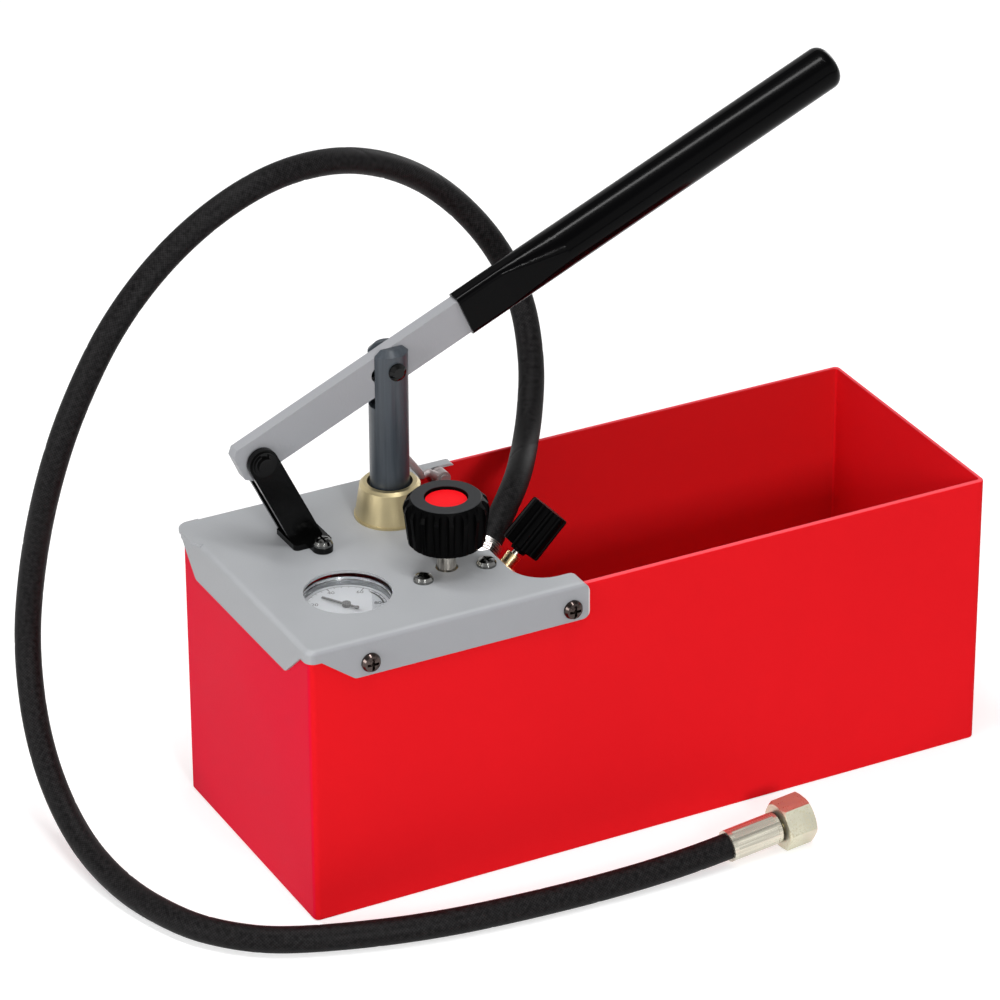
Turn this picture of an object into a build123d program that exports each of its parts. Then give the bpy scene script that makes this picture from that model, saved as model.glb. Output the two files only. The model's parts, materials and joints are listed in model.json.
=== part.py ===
from build123d import *
import math
import os

# Hydrostatic test pump: a steel water tank with a hand pump, gauge and valves on its cover.
# Millimetres. The origin is the centre of the tank's underside, +X runs along the tank
# from the pump to the open end, +Y runs away from the operator's side, +Z is up.

# Shared fits
seat_gap = 0.05
running_gap = 0.05
free_gap = 0.3
overrun = 5.0

# Tank
tank_length = 380.0
tank_width = 146.4
tank_height = 151.3
tank_sheet = 2.0
tank_corner_radius = 3.2
tank_bottom_radius = 1.2
tank_rim_radius = 1.2

# Cover plate
cover_sheet = 1.5
cover_fit = 0.2
cover_length = 153.0
cover_lip = 7.0
cover_bend_radius = 2.8
front_flange_drop = 20.3
front_flange_inset = 25.2
front_flange_slope = 17.8
end_flange_drop = 22.6
end_flange_front_inset = 26.1
end_flange_front_slope = 17.2
end_flange_rear_inset = 20.5
end_flange_rear_slope = 15.0
flange_corner_radius = 4.0
front_ear_width = 12.0
rear_ear_width = 7.4
ear_corner_radius = 5.6
recess_from_pump = 26.3
recess_radius = 18.0
hose_notch_radius = 9.5
hose_notch_shares = (0.5, 0.27)
corner_ear_out = 2.7
corner_ear_straight = 14.0
corner_ear_slope = 5.0
corner_ear_radius = 8.0

# Places on the cover: from the tank's left end, its front side, its middle line and each other
pump_from_end = 96.2
plunger_y = 33.0
spindle_from_front = 44.1
gauge_window_from_end = 42.1
gauge_window_from_front = 44.2
gauge_from_end = 40.9
gauge_from_front = 43.4
fulcrum_from_end = 24.0
fulcrum_rise = 49.4
block_screw_from_pump = (-16.4, 18.3)
block_screw_from_spindle = 7.1
foot_screw_from_fulcrum = 26.0
foot_screw_spread = 18.0
flange_screw_from_end = 31.6
flange_screw_from_ear = 9.5
flange_screw_drop = 13.2

# Screws: shank, pan head and cross slot
screw_radius = 2.5
screw_hole_gap = 0.25
screw_head_radius = 5.0
screw_head_height = 3.4
screw_dome_shares = ((1, 0.35), (0.82, 0.8), (0.45, 1))
screw_recess_length = 6.2
screw_recess_width = 1.4
screw_recess_depth = 1.9
screw_length = 11.0
insert_radius = 4.4
insert_flange_radius = 5.4
insert_flange = 1.0
insert_length = 9.0
nut_height = 4.0
nut_flats = 8.0

# Plunger rod and its fork
rod_radius = 10.0
rod_low_room = 42.0
rod_rise = 94.6
rod_low_chamfer = 1.5
rod_top_chamfer = 3.0
fork_depth = 32.0
fork_gap = 0.3
rod_pin_radius = 3.0
rod_pin_head_radius = 4.6
rod_pin_head = 2.4
rod_pin_dome_shares = (0.6, 0.45)
rod_clip_radius = 5.2
rod_clip_sheet = 1.0
pin_groove = 0.6
pin_tail = 2.0
clip_mouth_share = 1.1
clip_grasp_share = 0.4

# Lever
lever_angle = 23.8
lever_offset = 2.4
bar_height = 20.0
bar_thickness = 7.0
bar_tail = 11.0
bar_reach = 330.0
bar_corner = 3.0
lever_slot_play = 1.15
lever_slot_inward = 7.4
lever_slot_outward = 2.55

# Grip sleeve
grip_from_fulcrum = 124.6
grip_length = 229.0
grip_radius = 11.5
grip_mouth_height = 23.4
grip_mouth_width = 11.0
grip_flat_length = 26.0
grip_taper_length = 34.0
grip_end_radius = 6.0
grip_corner_share = 0.6
grip_bar_gap = 0.1

# Fulcrum bracket
bracket_sheet = 3.0
bracket_arm_radius = 7.8
bracket_arm_gap = 1.3
bracket_lean = 25.6
bracket_foot_left = 13.0
bracket_foot_right = 33.0
bracket_foot_front = 13.5
bracket_foot_rear = 7.6
bracket_lug_radius = 5.2
bracket_corner_radius = 2.4
fulcrum_pin_radius = 4.0
fulcrum_washer_radius = 6.6
fulcrum_washer_sheet = 1.0
fulcrum_clip_radius = 5.6
fulcrum_clip_sheet = 0.9
fulcrum_pin_tail = 1.2

# Gland nut, seals and bush
gland_nut_base_radius = 18.2
gland_nut_top_radius = 13.7
gland_nut_foot = 1.3
gland_nut_step = 0.5
gland_nut_height = 19.0
gland_nut_edge = 1.6
gland_nut_skirt_radius = 14.5
gland_nut_skirt = 12.0
gland_nut_throat = 6.0
gland_nut_recess_radius = 11.5
gland_nut_recess = 4.0
wiper_height = 2.4
packing_radius = 13.0
packing_ring_height = 3.6
packing_rings = 3
packing_gap = 0.06
bush_radius = 13.0
bush_height = 16.0

# Valve block under the cover
block_left = 24.0
block_right = 14.0
block_front = 16.9
block_rear = 22.0
block_height = 39.0
block_edge = 2.0
corner_right = 25.0
corner_rear = 5.6
plunger_chamber_radius = 12.0
passage_radius = 2.5
passage_drop = 31.0
valve_seat_radius = 2.0
spindle_bore_depth = 30.0

# Pump barrel, foot valve and strainer
barrel_radius = 15.5
barrel_thread = 8.0
barrel_low_z = 24.0
foot_valve_flats = 30.0
foot_valve_flange = 6.0
foot_valve_thread = 9.0
foot_valve_lip = 1.0
suction_ball_radius = 4.5
ball_play = 0.4
strainer_radius = 12.5
strainer_low_z = 5.0
strainer_wall = 1.0
strainer_slots = 10
strainer_slot_width = 2.6
strainer_slot_margin = 2.4

# Delivery valve in the block
delivery_from_plunger = 32.5
delivery_seat_drop = 27.0
delivery_chamber_radius = 5.0
delivery_ball_radius = 4.0
delivery_plug_radius = 6.5
delivery_plug_depth = 9.0
spring_radius = 3.3
spring_wire = 0.45
spring_turns = 4
spring_end_gap = 0.06

# Gauge
gauge_radius = 22.8
gauge_window_radius = 21.8
gauge_drop = 2.9
gauge_bezel_radius = 23.8
gauge_bezel_height = 7.0
gauge_bezel_lip = 1.2
gauge_bezel_inner = 21.9
gauge_case_height = 22.0
gauge_wall = 0.9
gauge_glass_sheet = 1.5
gauge_dial_drop = 5.4
gauge_dial_sheet = 1.0
gauge_stem_radius = 6.0
gauge_stem_length = 11.0
gauge_shaft_radius = 0.8
gauge_hub_radius = 2.2
gauge_needle_length = 14.0
gauge_needle_tail = 6.0
gauge_needle_width = 1.2
gauge_needle_sheet = 0.6
gauge_needle_lift = 0.9
gauge_needle_angle = 122.0
elbow_radius = 8.5
elbow_arm_share = 0.8
elbow_floor = 4.0

# Shut-off valve
shutoff_spindle_radius = 4.7
shutoff_spindle_tip = 2.6
shutoff_hole_radius = 5.7
shutoff_nut_radius = 8.0
shutoff_nut_height = 8.0
shutoff_knob_rise = 14.4
shutoff_knob_height = 24.8
shutoff_knob_radius = 21.3
shutoff_knob_bevel_radius = 20.4
shutoff_knob_top_radius = 17.1
shutoff_knob_low_radius = 19.2
shutoff_knob_shoulder = 6.0
shutoff_knob_bevel = 3.1
shutoff_knob_foot = 1.0
shutoff_flutes = 18
shutoff_flute_radius = 2.6
shutoff_flute_depth = 3.4
shutoff_recess_radius = 10.9
shutoff_recess = 3.0
shutoff_cap_radius = 10.3
shutoff_cap_sheet = 1.2
shutoff_socket_depth = 13.6

# Release valve, inclined in the XZ plane
release_lean = 45.0
release_knob_from_pump = 40.4
release_knob_rise = 0.1
release_knob_length = 24.6
release_knob_base_radius = 10.7
release_knob_top_radius = 10.4
release_knob_edge = 0.6
release_collar_radius = 4.4
release_collar_length = 2.0
release_flutes = 12
release_flute_radius = 1.5
release_flute_depth = 1.7
release_stem_radius = 2.1
release_stem_socket = 14.0
release_gland_radius = 3.9
release_gland_tip = 4.0
release_gland_length = 18.0
release_gland_flats = 11.0
release_gland_hex = 4.0
release_boss_radius = 6.5
release_boss_end = 14.5
release_tip_radius = 1.6
release_seat_depth = 36.0

# Hose, ferrules, nipples and the swivel nut
hose_radius = 6.7
hose_bore_radius = 3.2
ferrule_jaws = 8
ferrule_flat = 0.3
ferrule_edge = 2.5
pump_ferrule_radius = 7.6
pump_ferrule_length = 10.0
end_ferrule_radius = 8.15
end_ferrule_length = 29.0
nipple_radius = 5.0
nipple_length = 8.0
hose_boss_radius = 8.0
hose_boss_length = 22.0
hose_port_from_pump = 32.0
hose_port_from_spindle = 17.9
hose_port_drop = 4.1
hose_port_turn = 38.22
hose_port_slope = 27.22
tail_neck_radius = 5.4
tail_neck_length = 3.0
tail_collar_radius = 8.2
tail_collar_length = 3.4
swivel_flats = 23.0
swivel_length = 15.8
swivel_gap = 1.2
swivel_thread_radius = 9.3
swivel_relief_radius = 9.9
swivel_relief_past = 0.6
swivel_edge = 1.6
hose_washer_sheet = 2.0
hose_washer_bore = 4.0

# Route of the hose, chosen by hand, with x from the tank's left end: out of the block, under
# the lever's lowest place, up behind the grip, over the pump, down beside the tank and along
# the floor in front of it
hose_route = [
    (128.2, -11.2, 148.7),
    (142.3, -0.1, 157.9),
    (153.7, 10.6, 162.8),
    (164.0, 23.0, 165.0),
    (178.5, 45.0, 164.5),
    (192.5, 65.5, 173.0),
    (204.0, 85.0, 190.0),
    (208.0, 103.5, 217.5),
    (198.5, 117.5, 246.5),
    (174.5, 124.0, 276.5),
    (140.0, 114.5, 302.5),
    (100.5, 102.5, 319.0),
    (55.0, 89.5, 322.0),
    (12.0, 88.5, 301.0),
    (-27.5, 79.5, 271.5),
    (-49.5, 86.0, 226.0),
    (-64.5, 88.0, 185.0),
    (-70.0, 102.0, 132.0),
    (-76.0, 100.5, 85.0),
    (-82.5, 72.5, 44.5),
    (-80.5, 37.0, 14.0),
    (-76.0, -10.0, 6.7),
    (-63.0, -52.0, 6.7),
    (-47.5, -73.5, 6.7),
    (-27.0, -90.0, 6.7),
    (13.0, -104.5, 6.7),
    (51.5, -113.5, 6.7),
    (92.0, -118.0, 6.7),
    (136.0, -120.5, 6.7),
    (181.0, -121.2, 8.0),
    (205.2, -120.1, 9.8),
]
arc_share = 0.45

# Transport hook, a bent wire on a tab under the cover's rear ear
hook_wire_radius = 1.9
hook_tab_sheet = 2.5
hook_tab_width = 8.0
hook_pivot_from_ear = 12.8
hook_pivot_in = 10.4
hook_pivot_drop = 2.2
hook_room = 0.5
hook_eye_radius = 4.0
hook_rivet_radius = 1.6
hook_rivet_head_radius = 2.8
hook_rivet_head = 1.2
hook_bends = [(-7.6, 4.9), (-11.2, 4.0), (-21.3, 18.1), (-26.5, 31.7), (-26.0, 37.2), (-23.0, 39.9)]

# Worked out from the sizes above
left_x = -tank_length / 2
cover_low_z = tank_height
cover_corner_radius = tank_corner_radius + cover_fit + cover_sheet
cover_top_z = tank_height + cover_sheet
cover_half_width = tank_width / 2 + cover_fit + cover_sheet
cover_left_x = left_x - cover_fit - cover_sheet
ear_end_x = cover_left_x + cover_length
pump_x = left_x + pump_from_end
recess_x = pump_x + recess_from_pump
gauge_x = left_x + gauge_from_end
gauge_y = gauge_from_front - tank_width / 2
window_x = left_x + gauge_window_from_end
window_y = gauge_window_from_front - tank_width / 2
spindle_y = spindle_from_front - tank_width / 2
fulcrum_x = left_x + fulcrum_from_end
fulcrum_z = cover_top_z + fulcrum_rise
foot_screw_x = fulcrum_x + foot_screw_from_fulcrum
screw_hole_radius = screw_radius + screw_hole_gap
block_top_z = cover_low_z
block_low_z = block_top_z - block_height
block_front_y = spindle_y - block_front
block_rear_y = plunger_y + block_rear
delivery_y = plunger_y - delivery_from_plunger
shutoff_knob_low_z = cover_top_z + shutoff_knob_rise
rod_low_z = barrel_low_z + foot_valve_thread + rod_low_room
rod_top_z = cover_top_z + rod_rise
fulcrum = Vector(fulcrum_x, plunger_y, fulcrum_z)
tan_lever = math.tan(math.radians(lever_angle))
cos_lever = math.cos(math.radians(lever_angle))
rod_pin_z = fulcrum_z + (pump_x - fulcrum_x) * tan_lever + lever_offset / cos_lever
rod_pin_reach = (pump_x - fulcrum_x) / cos_lever + lever_offset * tan_lever


def slab(x, y, z):
    """Box between two corners, each of x, y and z given as a low and a high value."""
    centre = Pos((x[0] + x[1]) / 2, (y[0] + y[1]) / 2, (z[0] + z[1]) / 2)
    return centre * Box(x[1] - x[0], y[1] - y[0], z[1] - z[0])


def shaft(plane, radius, start, end):
    """Cylinder on the plane's normal, between two distances along it."""
    return plane * Pos(0, 0, (start + end) / 2) * Cylinder(radius, end - start)


def upright(x, y):
    return Plane(origin=(x, y, 0), z_dir=(0, 0, 1))


def across(x, z):
    """Plane whose normal runs along +Y and whose distances are values of y."""
    return Plane(origin=(x, 0, z), x_dir=(1, 0, 0), z_dir=(0, 1, 0))


def turned(plane, outline):
    """Solid of revolution about the plane's normal, from (radius, distance) points."""
    face = make_face(Polyline(*[(r, 0, h) for r, h in outline], close=True))
    return plane * revolve(face, Axis.Z)


def bar(plane, flats, sides, start, end):
    """Bar of regular section, by its width across flats."""
    shape = RegularPolygon(radius=flats / 2, side_count=sides, major_radius=False)
    return plane * Pos(0, 0, start) * extrude(shape, end - start)


def hex_bar(plane, flats, start, end):
    return bar(plane, flats, 6, start, end)


def save(node, solid):
    export_step(solid, f"parts/{node}.step")


def pan_screw(plane, length):
    """Pan head screw: the head stands on the plane and the shank runs back from it."""
    dome = [(screw_head_radius * r, screw_head_height * h) for r, h in screw_dome_shares]
    head = turned(plane, [(0, 0), (screw_head_radius, 0)] + dome + [(0, screw_head_height)])
    slot = Box(screw_recess_length, screw_recess_width, 2 * screw_recess_depth)
    cross = plane * Pos(0, 0, screw_head_height) * (slot + Rot(0, 0, 90) * slot)
    return head + shaft(plane, screw_radius, -length, 0) - cross


# Tank
def tank():
    half_l = tank_length / 2
    half_w = tank_width / 2
    body = slab((-half_l, half_l), (-half_w, half_w), (0, tank_height))
    body = fillet(body.edges().filter_by(Axis.Z), tank_corner_radius)
    body = fillet(body.faces().sort_by(Axis.Z)[0].edges(), tank_bottom_radius)
    body = fillet(body.faces().sort_by(Axis.Z)[-1].edges(), tank_rim_radius)
    room = slab((-half_l + tank_sheet, half_l - tank_sheet),
                (-half_w + tank_sheet, half_w - tank_sheet),
                (tank_sheet, tank_height + overrun))
    room = fillet(room.edges().filter_by(Axis.Z), tank_corner_radius - tank_sheet / 2)
    body -= room
    for x, z in flange_screws():
        body -= shaft(across(x, z), insert_radius + seat_gap, -half_w - overrun, half_w + overrun)
    return body


def flange_screws():
    z = cover_top_z - flange_screw_drop
    return [(left_x + flange_screw_from_end, z), (ear_end_x - flange_screw_from_ear, z)]


def block_screw_places():
    return [(pump_x + d, spindle_y - block_screw_from_spindle) for d in block_screw_from_pump]


# Cover plate
def cover_shell(inset):
    """Rounded lid block that the sheet is folded from, smaller by the inset."""
    block = slab((cover_left_x + inset, ear_end_x + overrun + cover_corner_radius),
                 (-cover_half_width + inset, cover_half_width - inset),
                 (cover_top_z - cover_lip - overrun, cover_top_z - inset))
    left_edges = block.edges().filter_by(Axis.Z).sort_by(Axis.X)[:2]
    block = fillet(left_edges, cover_corner_radius - inset)
    top = block.faces().sort_by(Axis.Z)[-1]
    rim = [e for e in top.edges() if e.center().X < ear_end_x + overrun]
    return fillet(rim, cover_bend_radius - inset)


def front_flange():
    """Side skirt in its own plane, as an outline of x and z."""
    low = cover_top_z - front_flange_drop
    lip = cover_top_z - cover_lip
    start = cover_left_x + front_flange_inset
    pts = [(start - front_flange_slope, lip), (start, low), (ear_end_x, low), (ear_end_x, lip)]
    face = make_face(Polyline(*[(x, 0, z) for x, z in pts], close=True))
    low_corners = [v for v in face.vertices() if abs(v.Z - low) < seat_gap]
    return fillet(low_corners, flange_corner_radius)


def end_flange():
    low = cover_top_z - end_flange_drop
    lip = cover_top_z - cover_lip
    front = end_flange_front_inset - cover_half_width
    rear = cover_half_width - end_flange_rear_inset
    pts = [(front - end_flange_front_slope, lip), (front, low), (rear, low),
           (rear + end_flange_rear_slope, lip)]
    face = make_face(Polyline(*[(0, y, z) for y, z in pts], close=True))
    low_corners = [v for v in face.vertices() if abs(v.Z - low) < seat_gap]
    return fillet(low_corners, flange_corner_radius)


def corner_ear():
    """Flat corner of the sheet at the rear left, which the end skirt's fold leaves standing out."""
    left = cover_left_x - corner_ear_out
    inner = cover_left_x + cover_bend_radius
    front = cover_half_width - corner_ear_radius - corner_ear_straight
    rear = cover_half_width - cover_bend_radius + cover_sheet
    pts = [(inner, front - corner_ear_slope), (cover_left_x, front - corner_ear_slope), (left, front),
           (left, rear), (inner + corner_ear_radius, rear), (inner + corner_ear_radius, front)]
    face = make_face(Polyline(*[(x, y, cover_low_z) for x, y in pts], close=True))
    corner = face.vertices().sort_by(lambda v: v.Y - v.X)[-1]
    return extrude(fillet(corner, corner_ear_radius), cover_sheet, dir=(0, 0, 1))


def cover_plate():
    body = cover_shell(0) - cover_shell(cover_sheet)
    body &= slab((cover_left_x - overrun, ear_end_x),
                 (-cover_half_width - overrun, cover_half_width + overrun),
                 (cover_top_z - cover_lip, cover_top_z + overrun))
    skirt = extrude(front_flange(), cover_sheet, dir=(0, 1, 0))
    body += Pos(0, -cover_half_width, 0) * skirt
    body += Pos(0, cover_half_width - cover_sheet, 0) * skirt
    body += Pos(cover_left_x, 0, 0) * extrude(end_flange(), cover_sheet, dir=(1, 0, 0))
    recess = slab((recess_x, ear_end_x + recess_radius + overrun),
                  (front_ear_width - cover_half_width, cover_half_width - rear_ear_width),
                  (cover_low_z - overrun, cover_top_z + overrun))
    recess = fillet(recess.edges().filter_by(Axis.Z).sort_by(Axis.X)[:2], recess_radius)
    body -= recess
    pivot = hook_pivot()
    body -= slab((pivot.X - hook_tab_width / 2 - hook_room, ear_end_x + overrun),
                 (pivot.Y - hook_wire_radius - free_gap - hook_rivet_head - hook_room,
                  pivot.Y + hook_wire_radius + free_gap + hook_tab_sheet + hook_room),
                 (cover_low_z - overrun, cover_top_z + overrun))
    body += corner_ear()
    ear = Pos(ear_end_x - ear_corner_radius, 0, cover_top_z - ear_corner_radius)
    corner = slab((0, overrun + ear_corner_radius), (-cover_half_width - overrun,
                  cover_half_width + overrun), (0, overrun + ear_corner_radius))
    corner -= shaft(across(0, 0), ear_corner_radius, -cover_half_width - overrun,
                    cover_half_width + overrun)
    body -= ear * corner
    port = hose_axis().origin
    back, aside = hose_notch_shares
    notch = upright(port.X - hose_notch_radius * back, port.Y - hose_notch_radius * aside)
    body -= shaft(notch, hose_notch_radius, cover_low_z - overrun, cover_top_z + overrun)
    holes = [(window_x, window_y, gauge_window_radius), (pump_x, spindle_y, shutoff_hole_radius),
             (pump_x, plunger_y, gland_nut_skirt_radius + free_gap)]
    holes += [(x, y, screw_hole_radius) for x, y in block_screw_places()]
    holes += [(foot_screw_x, plunger_y + s * foot_screw_spread, screw_hole_radius) for s in (-1, 1)]
    for x, y, r in holes:
        body -= shaft(upright(x, y), r, cover_low_z - overrun, cover_top_z + overrun)
    for x, z in flange_screws():
        body -= shaft(across(x, z), screw_hole_radius, -cover_half_width - overrun,
                      cover_half_width + overrun)
    return body


def side_plane(x, z, side):
    """Plane on the cover's front (side -1) or rear (side 1) flange, facing outwards."""
    return Plane(origin=(x, side * cover_half_width, z), x_dir=(1, 0, 0), z_dir=(0, side, 0))


def cover_screws():
    screws = [pan_screw(side_plane(x, z, side), screw_length)
              for x, z in flange_screws() for side in (-1, 1)]
    return Compound(children=screws)


def cover_inserts():
    """Threaded inserts set in the tank wall behind the flange screws."""
    inserts = []
    for x, z in flange_screws():
        for side in (-1, 1):
            wall = Plane(origin=(x, side * tank_width / 2, z), x_dir=(1, 0, 0),
                         z_dir=(0, side, 0))
            body = shaft(wall, insert_radius, -insert_length, 0)
            body += shaft(wall, insert_flange_radius, -tank_sheet - insert_flange,
                          -tank_sheet - seat_gap)
            inserts.append(body - shaft(wall, screw_radius + seat_gap, -insert_length - overrun,
                                        overrun))
    return Compound(children=inserts)


def block_screws():
    tops = [Plane(origin=(x, y, cover_top_z)) for x, y in block_screw_places()]
    return Compound(children=[pan_screw(plane, screw_length) for plane in tops])


# Pump body
def gland_nut():
    top = cover_top_z + gland_nut_height
    throat_low = top - gland_nut_recess - gland_nut_throat
    pump = upright(pump_x, plunger_y)
    body = turned(pump, [
        (0, cover_top_z), (gland_nut_base_radius, cover_top_z),
        (gland_nut_base_radius, cover_top_z + gland_nut_foot),
        (gland_nut_base_radius - gland_nut_step, cover_top_z + gland_nut_foot),
        (gland_nut_top_radius + gland_nut_edge, top - gland_nut_edge),
        (gland_nut_top_radius, top), (0, top)])
    body += shaft(pump, gland_nut_skirt_radius, cover_top_z - gland_nut_skirt, cover_top_z)
    body -= shaft(pump, rod_radius + running_gap, cover_low_z - gland_nut_skirt - overrun,
                  top + overrun)
    body -= shaft(pump, gland_nut_recess_radius, top - gland_nut_recess, top + overrun)
    body -= shaft(pump, packing_radius, cover_top_z - gland_nut_skirt - overrun, throat_low)
    return body


def wiper_ring():
    low = cover_top_z + gland_nut_height - gland_nut_recess
    pump = upright(pump_x, plunger_y)
    ring = shaft(pump, gland_nut_recess_radius - seat_gap, low, low + wiper_height)
    return ring - shaft(pump, rod_radius + packing_gap, low - overrun, low + wiper_height + overrun)


def gland_packing():
    """Stack of seal rings round the plunger, pressed down by the gland nut."""
    top = cover_top_z + gland_nut_height - gland_nut_recess - gland_nut_throat
    pump = upright(pump_x, plunger_y)
    rings = []
    for i in range(packing_rings):
        low = top - (i + 1) * (packing_ring_height + seat_gap)
        ring = shaft(pump, packing_radius - seat_gap, low, low + packing_ring_height)
        rings.append(ring - shaft(pump, rod_radius + packing_gap, low - overrun,
                                  low + packing_ring_height + overrun))
    return Compound(children=rings)


def bush_top_z():
    return block_top_z - gland_nut_skirt + cover_sheet - seat_gap


def guide_bush():
    pump = upright(pump_x, plunger_y)
    top = bush_top_z()
    bush = shaft(pump, bush_radius - seat_gap, top - bush_height, top)
    return bush - shaft(pump, rod_radius + running_gap, top - bush_height - overrun, top + overrun)


def hose_axis():
    """Plane at the pump ferrule's outer end, facing along the hose's first run."""
    turn, slope = math.radians(hose_port_turn), math.radians(hose_port_slope)
    way = Vector(math.cos(turn) * math.cos(slope), math.sin(turn) * math.cos(slope), math.sin(slope))
    port = Vector(pump_x + hose_port_from_pump, spindle_y + hose_port_from_spindle,
                  cover_top_z - hose_port_drop)
    return Plane(origin=port, z_dir=way)


def hose_points():
    return [Vector(left_x + x, y, z) for x, y, z in hose_route]


def hose_end_axis():
    before, end = hose_points()[-2:]
    return Plane(origin=end, x_dir=(0, 1, 0), z_dir=end - before)


def release_axis():
    """Plane at the foot of the release knob, facing up along its stem."""
    lean = math.radians(release_lean)
    foot = (pump_x + release_knob_from_pump, spindle_y, cover_top_z + release_knob_rise)
    return Plane(origin=foot, x_dir=(0, 1, 0), z_dir=(math.cos(lean), 0, math.sin(lean)))


def valve_block():
    body = slab((pump_x - block_left, pump_x + block_right), (block_front_y, block_rear_y),
                (block_low_z, block_top_z))
    body = chamfer(body.edges().filter_by(Axis.Z), block_edge)
    corner = slab((pump_x, pump_x + corner_right),
                  (block_front_y + block_edge, spindle_y + corner_rear), (block_low_z, block_top_z))
    body += corner
    release = release_axis()
    body += shaft(release, release_boss_radius, -release_seat_depth, -release_boss_end)
    hose = hose_axis()
    boss_end = -pump_ferrule_length - nipple_length / 2
    body += shaft(hose, hose_boss_radius, boss_end - hose_boss_length, boss_end)
    pump = upright(pump_x, plunger_y)
    skirt_low = cover_top_z - gland_nut_skirt
    body -= shaft(pump, gland_nut_skirt_radius + seat_gap, skirt_low - seat_gap,
                  block_top_z + overrun)
    body -= shaft(pump, bush_radius, bush_top_z() - bush_height, block_top_z)
    body -= shaft(pump, plunger_chamber_radius, block_low_z - overrun, block_top_z)
    body -= shaft(pump, barrel_radius + seat_gap, block_low_z - overrun, block_low_z + barrel_thread)
    body -= delivery_cuts()
    spindle = upright(pump_x, spindle_y)
    floor = block_top_z - spindle_bore_depth
    body -= shaft(spindle, shutoff_spindle_radius + running_gap, floor, block_top_z + overrun)
    body -= shaft(spindle, shutoff_nut_radius + seat_gap, block_top_z - shutoff_nut_height,
                  block_top_z + overrun)
    body -= shaft(release, release_stem_radius + running_gap, -release_seat_depth, overrun)
    body -= shaft(release, release_gland_radius + seat_gap,
                  -release_gland_tip - release_gland_length, overrun)
    body -= shaft(hose, nipple_radius + seat_gap, boss_end - nipple_length, overrun)
    body -= shaft(hose, passage_radius, boss_end - hose_boss_length - overrun, overrun)
    for x, y in block_screw_places():
        body -= shaft(upright(x, y), screw_radius + seat_gap,
                      cover_top_z - screw_length - overrun, block_top_z + overrun)
    gauge_port = Plane(origin=(pump_x, gauge_y, elbow_z()), z_dir=(-1, 0, 0))
    body -= shaft(gauge_port, passage_radius, 0, block_left + overrun)
    return body


def delivery_cuts():
    """Passage from the plunger's chamber, up through the delivery valve, to the gauge side."""
    low = block_top_z - passage_drop
    along = Plane(origin=(pump_x, 0, low), x_dir=(1, 0, 0), z_dir=(0, 1, 0))
    cuts = shaft(along, passage_radius, delivery_y, plunger_y)
    valve = upright(pump_x, delivery_y)
    seat = block_top_z - delivery_seat_drop
    cuts += shaft(valve, valve_seat_radius, low, seat + overrun)
    cuts += shaft(valve, delivery_chamber_radius, seat, block_top_z - delivery_plug_depth)
    cuts += shaft(valve, delivery_plug_radius + seat_gap, block_top_z - delivery_plug_depth,
                  block_top_z + overrun)
    back = Plane(origin=(pump_x, 0, seat + delivery_chamber_radius), x_dir=(1, 0, 0),
                 z_dir=(0, 1, 0))
    cuts += shaft(back, passage_radius, spindle_y, delivery_y)
    return cuts


def pump_barrel():
    pump = upright(pump_x, plunger_y)
    body = shaft(pump, barrel_radius, barrel_low_z, block_low_z + barrel_thread - seat_gap)
    body -= shaft(pump, plunger_chamber_radius, barrel_low_z - overrun, block_top_z)
    return body


def foot_valve():
    """Screwed plug at the barrel's lower end, with the suction seat in it."""
    pump = upright(pump_x, plunger_y)
    body = hex_bar(pump, foot_valve_flats, barrel_low_z - foot_valve_flange, barrel_low_z - seat_gap)
    body += shaft(pump, plunger_chamber_radius - seat_gap, barrel_low_z - seat_gap,
                  barrel_low_z + foot_valve_thread)
    seat = foot_seat_z()
    body -= shaft(pump, passage_radius, barrel_low_z - foot_valve_flange - overrun, seat + overrun)
    top = barrel_low_z + foot_valve_thread
    body -= shaft(pump, suction_ball_radius + ball_play, seat, top - foot_valve_lip)
    body -= shaft(pump, suction_ball_radius - foot_valve_lip, seat, top + overrun)
    return body


def foot_seat_z():
    return barrel_low_z - foot_valve_flange / 2


def ball_on_seat(x, y, seat, ball, hole):
    """Ball resting on the sharp edge of a round seat, lifted by the running gap."""
    rise = math.sqrt(ball ** 2 - hole ** 2)
    return Pos(x, y, seat + rise + running_gap) * Sphere(ball)


def suction_ball():
    return ball_on_seat(pump_x, plunger_y, foot_seat_z(), suction_ball_radius, passage_radius)


def suction_strainer():
    """Slotted cup under the foot valve."""
    pump = upright(pump_x, plunger_y)
    top = barrel_low_z - foot_valve_flange - seat_gap
    body = shaft(pump, strainer_radius, strainer_low_z, top)
    body -= shaft(pump, strainer_radius - strainer_wall, strainer_low_z + strainer_wall, top + overrun)
    for i in range(strainer_slots):
        turn = Rot(0, 0, i * 360 / strainer_slots)
        slot = slab((0, strainer_radius + overrun),
                    (-strainer_slot_width / 2, strainer_slot_width / 2),
                    (strainer_low_z + strainer_slot_margin, top - strainer_slot_margin))
        body -= Pos(pump_x, plunger_y, 0) * turn * slot
    return body


def delivery_ball():
    seat = block_top_z - delivery_seat_drop
    return ball_on_seat(pump_x, delivery_y, seat, delivery_ball_radius, valve_seat_radius)


def delivery_spring():
    """Small coil that holds the delivery ball down."""
    seat = block_top_z - delivery_seat_drop
    rise = math.sqrt(delivery_ball_radius ** 2 - valve_seat_radius ** 2)
    ring = math.sqrt(delivery_ball_radius ** 2 - (spring_radius - spring_wire) ** 2)
    low = seat + rise + running_gap + ring + spring_wire + spring_end_gap
    high = block_top_z - delivery_plug_depth - spring_wire - spring_end_gap
    coil = Helix(pitch=(high - low) / spring_turns, height=high - low, radius=spring_radius)
    wire = sweep(Plane(origin=coil @ 0, z_dir=coil % 0) * Circle(spring_wire), path=coil)
    return Pos(pump_x, delivery_y, low) * wire


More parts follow.
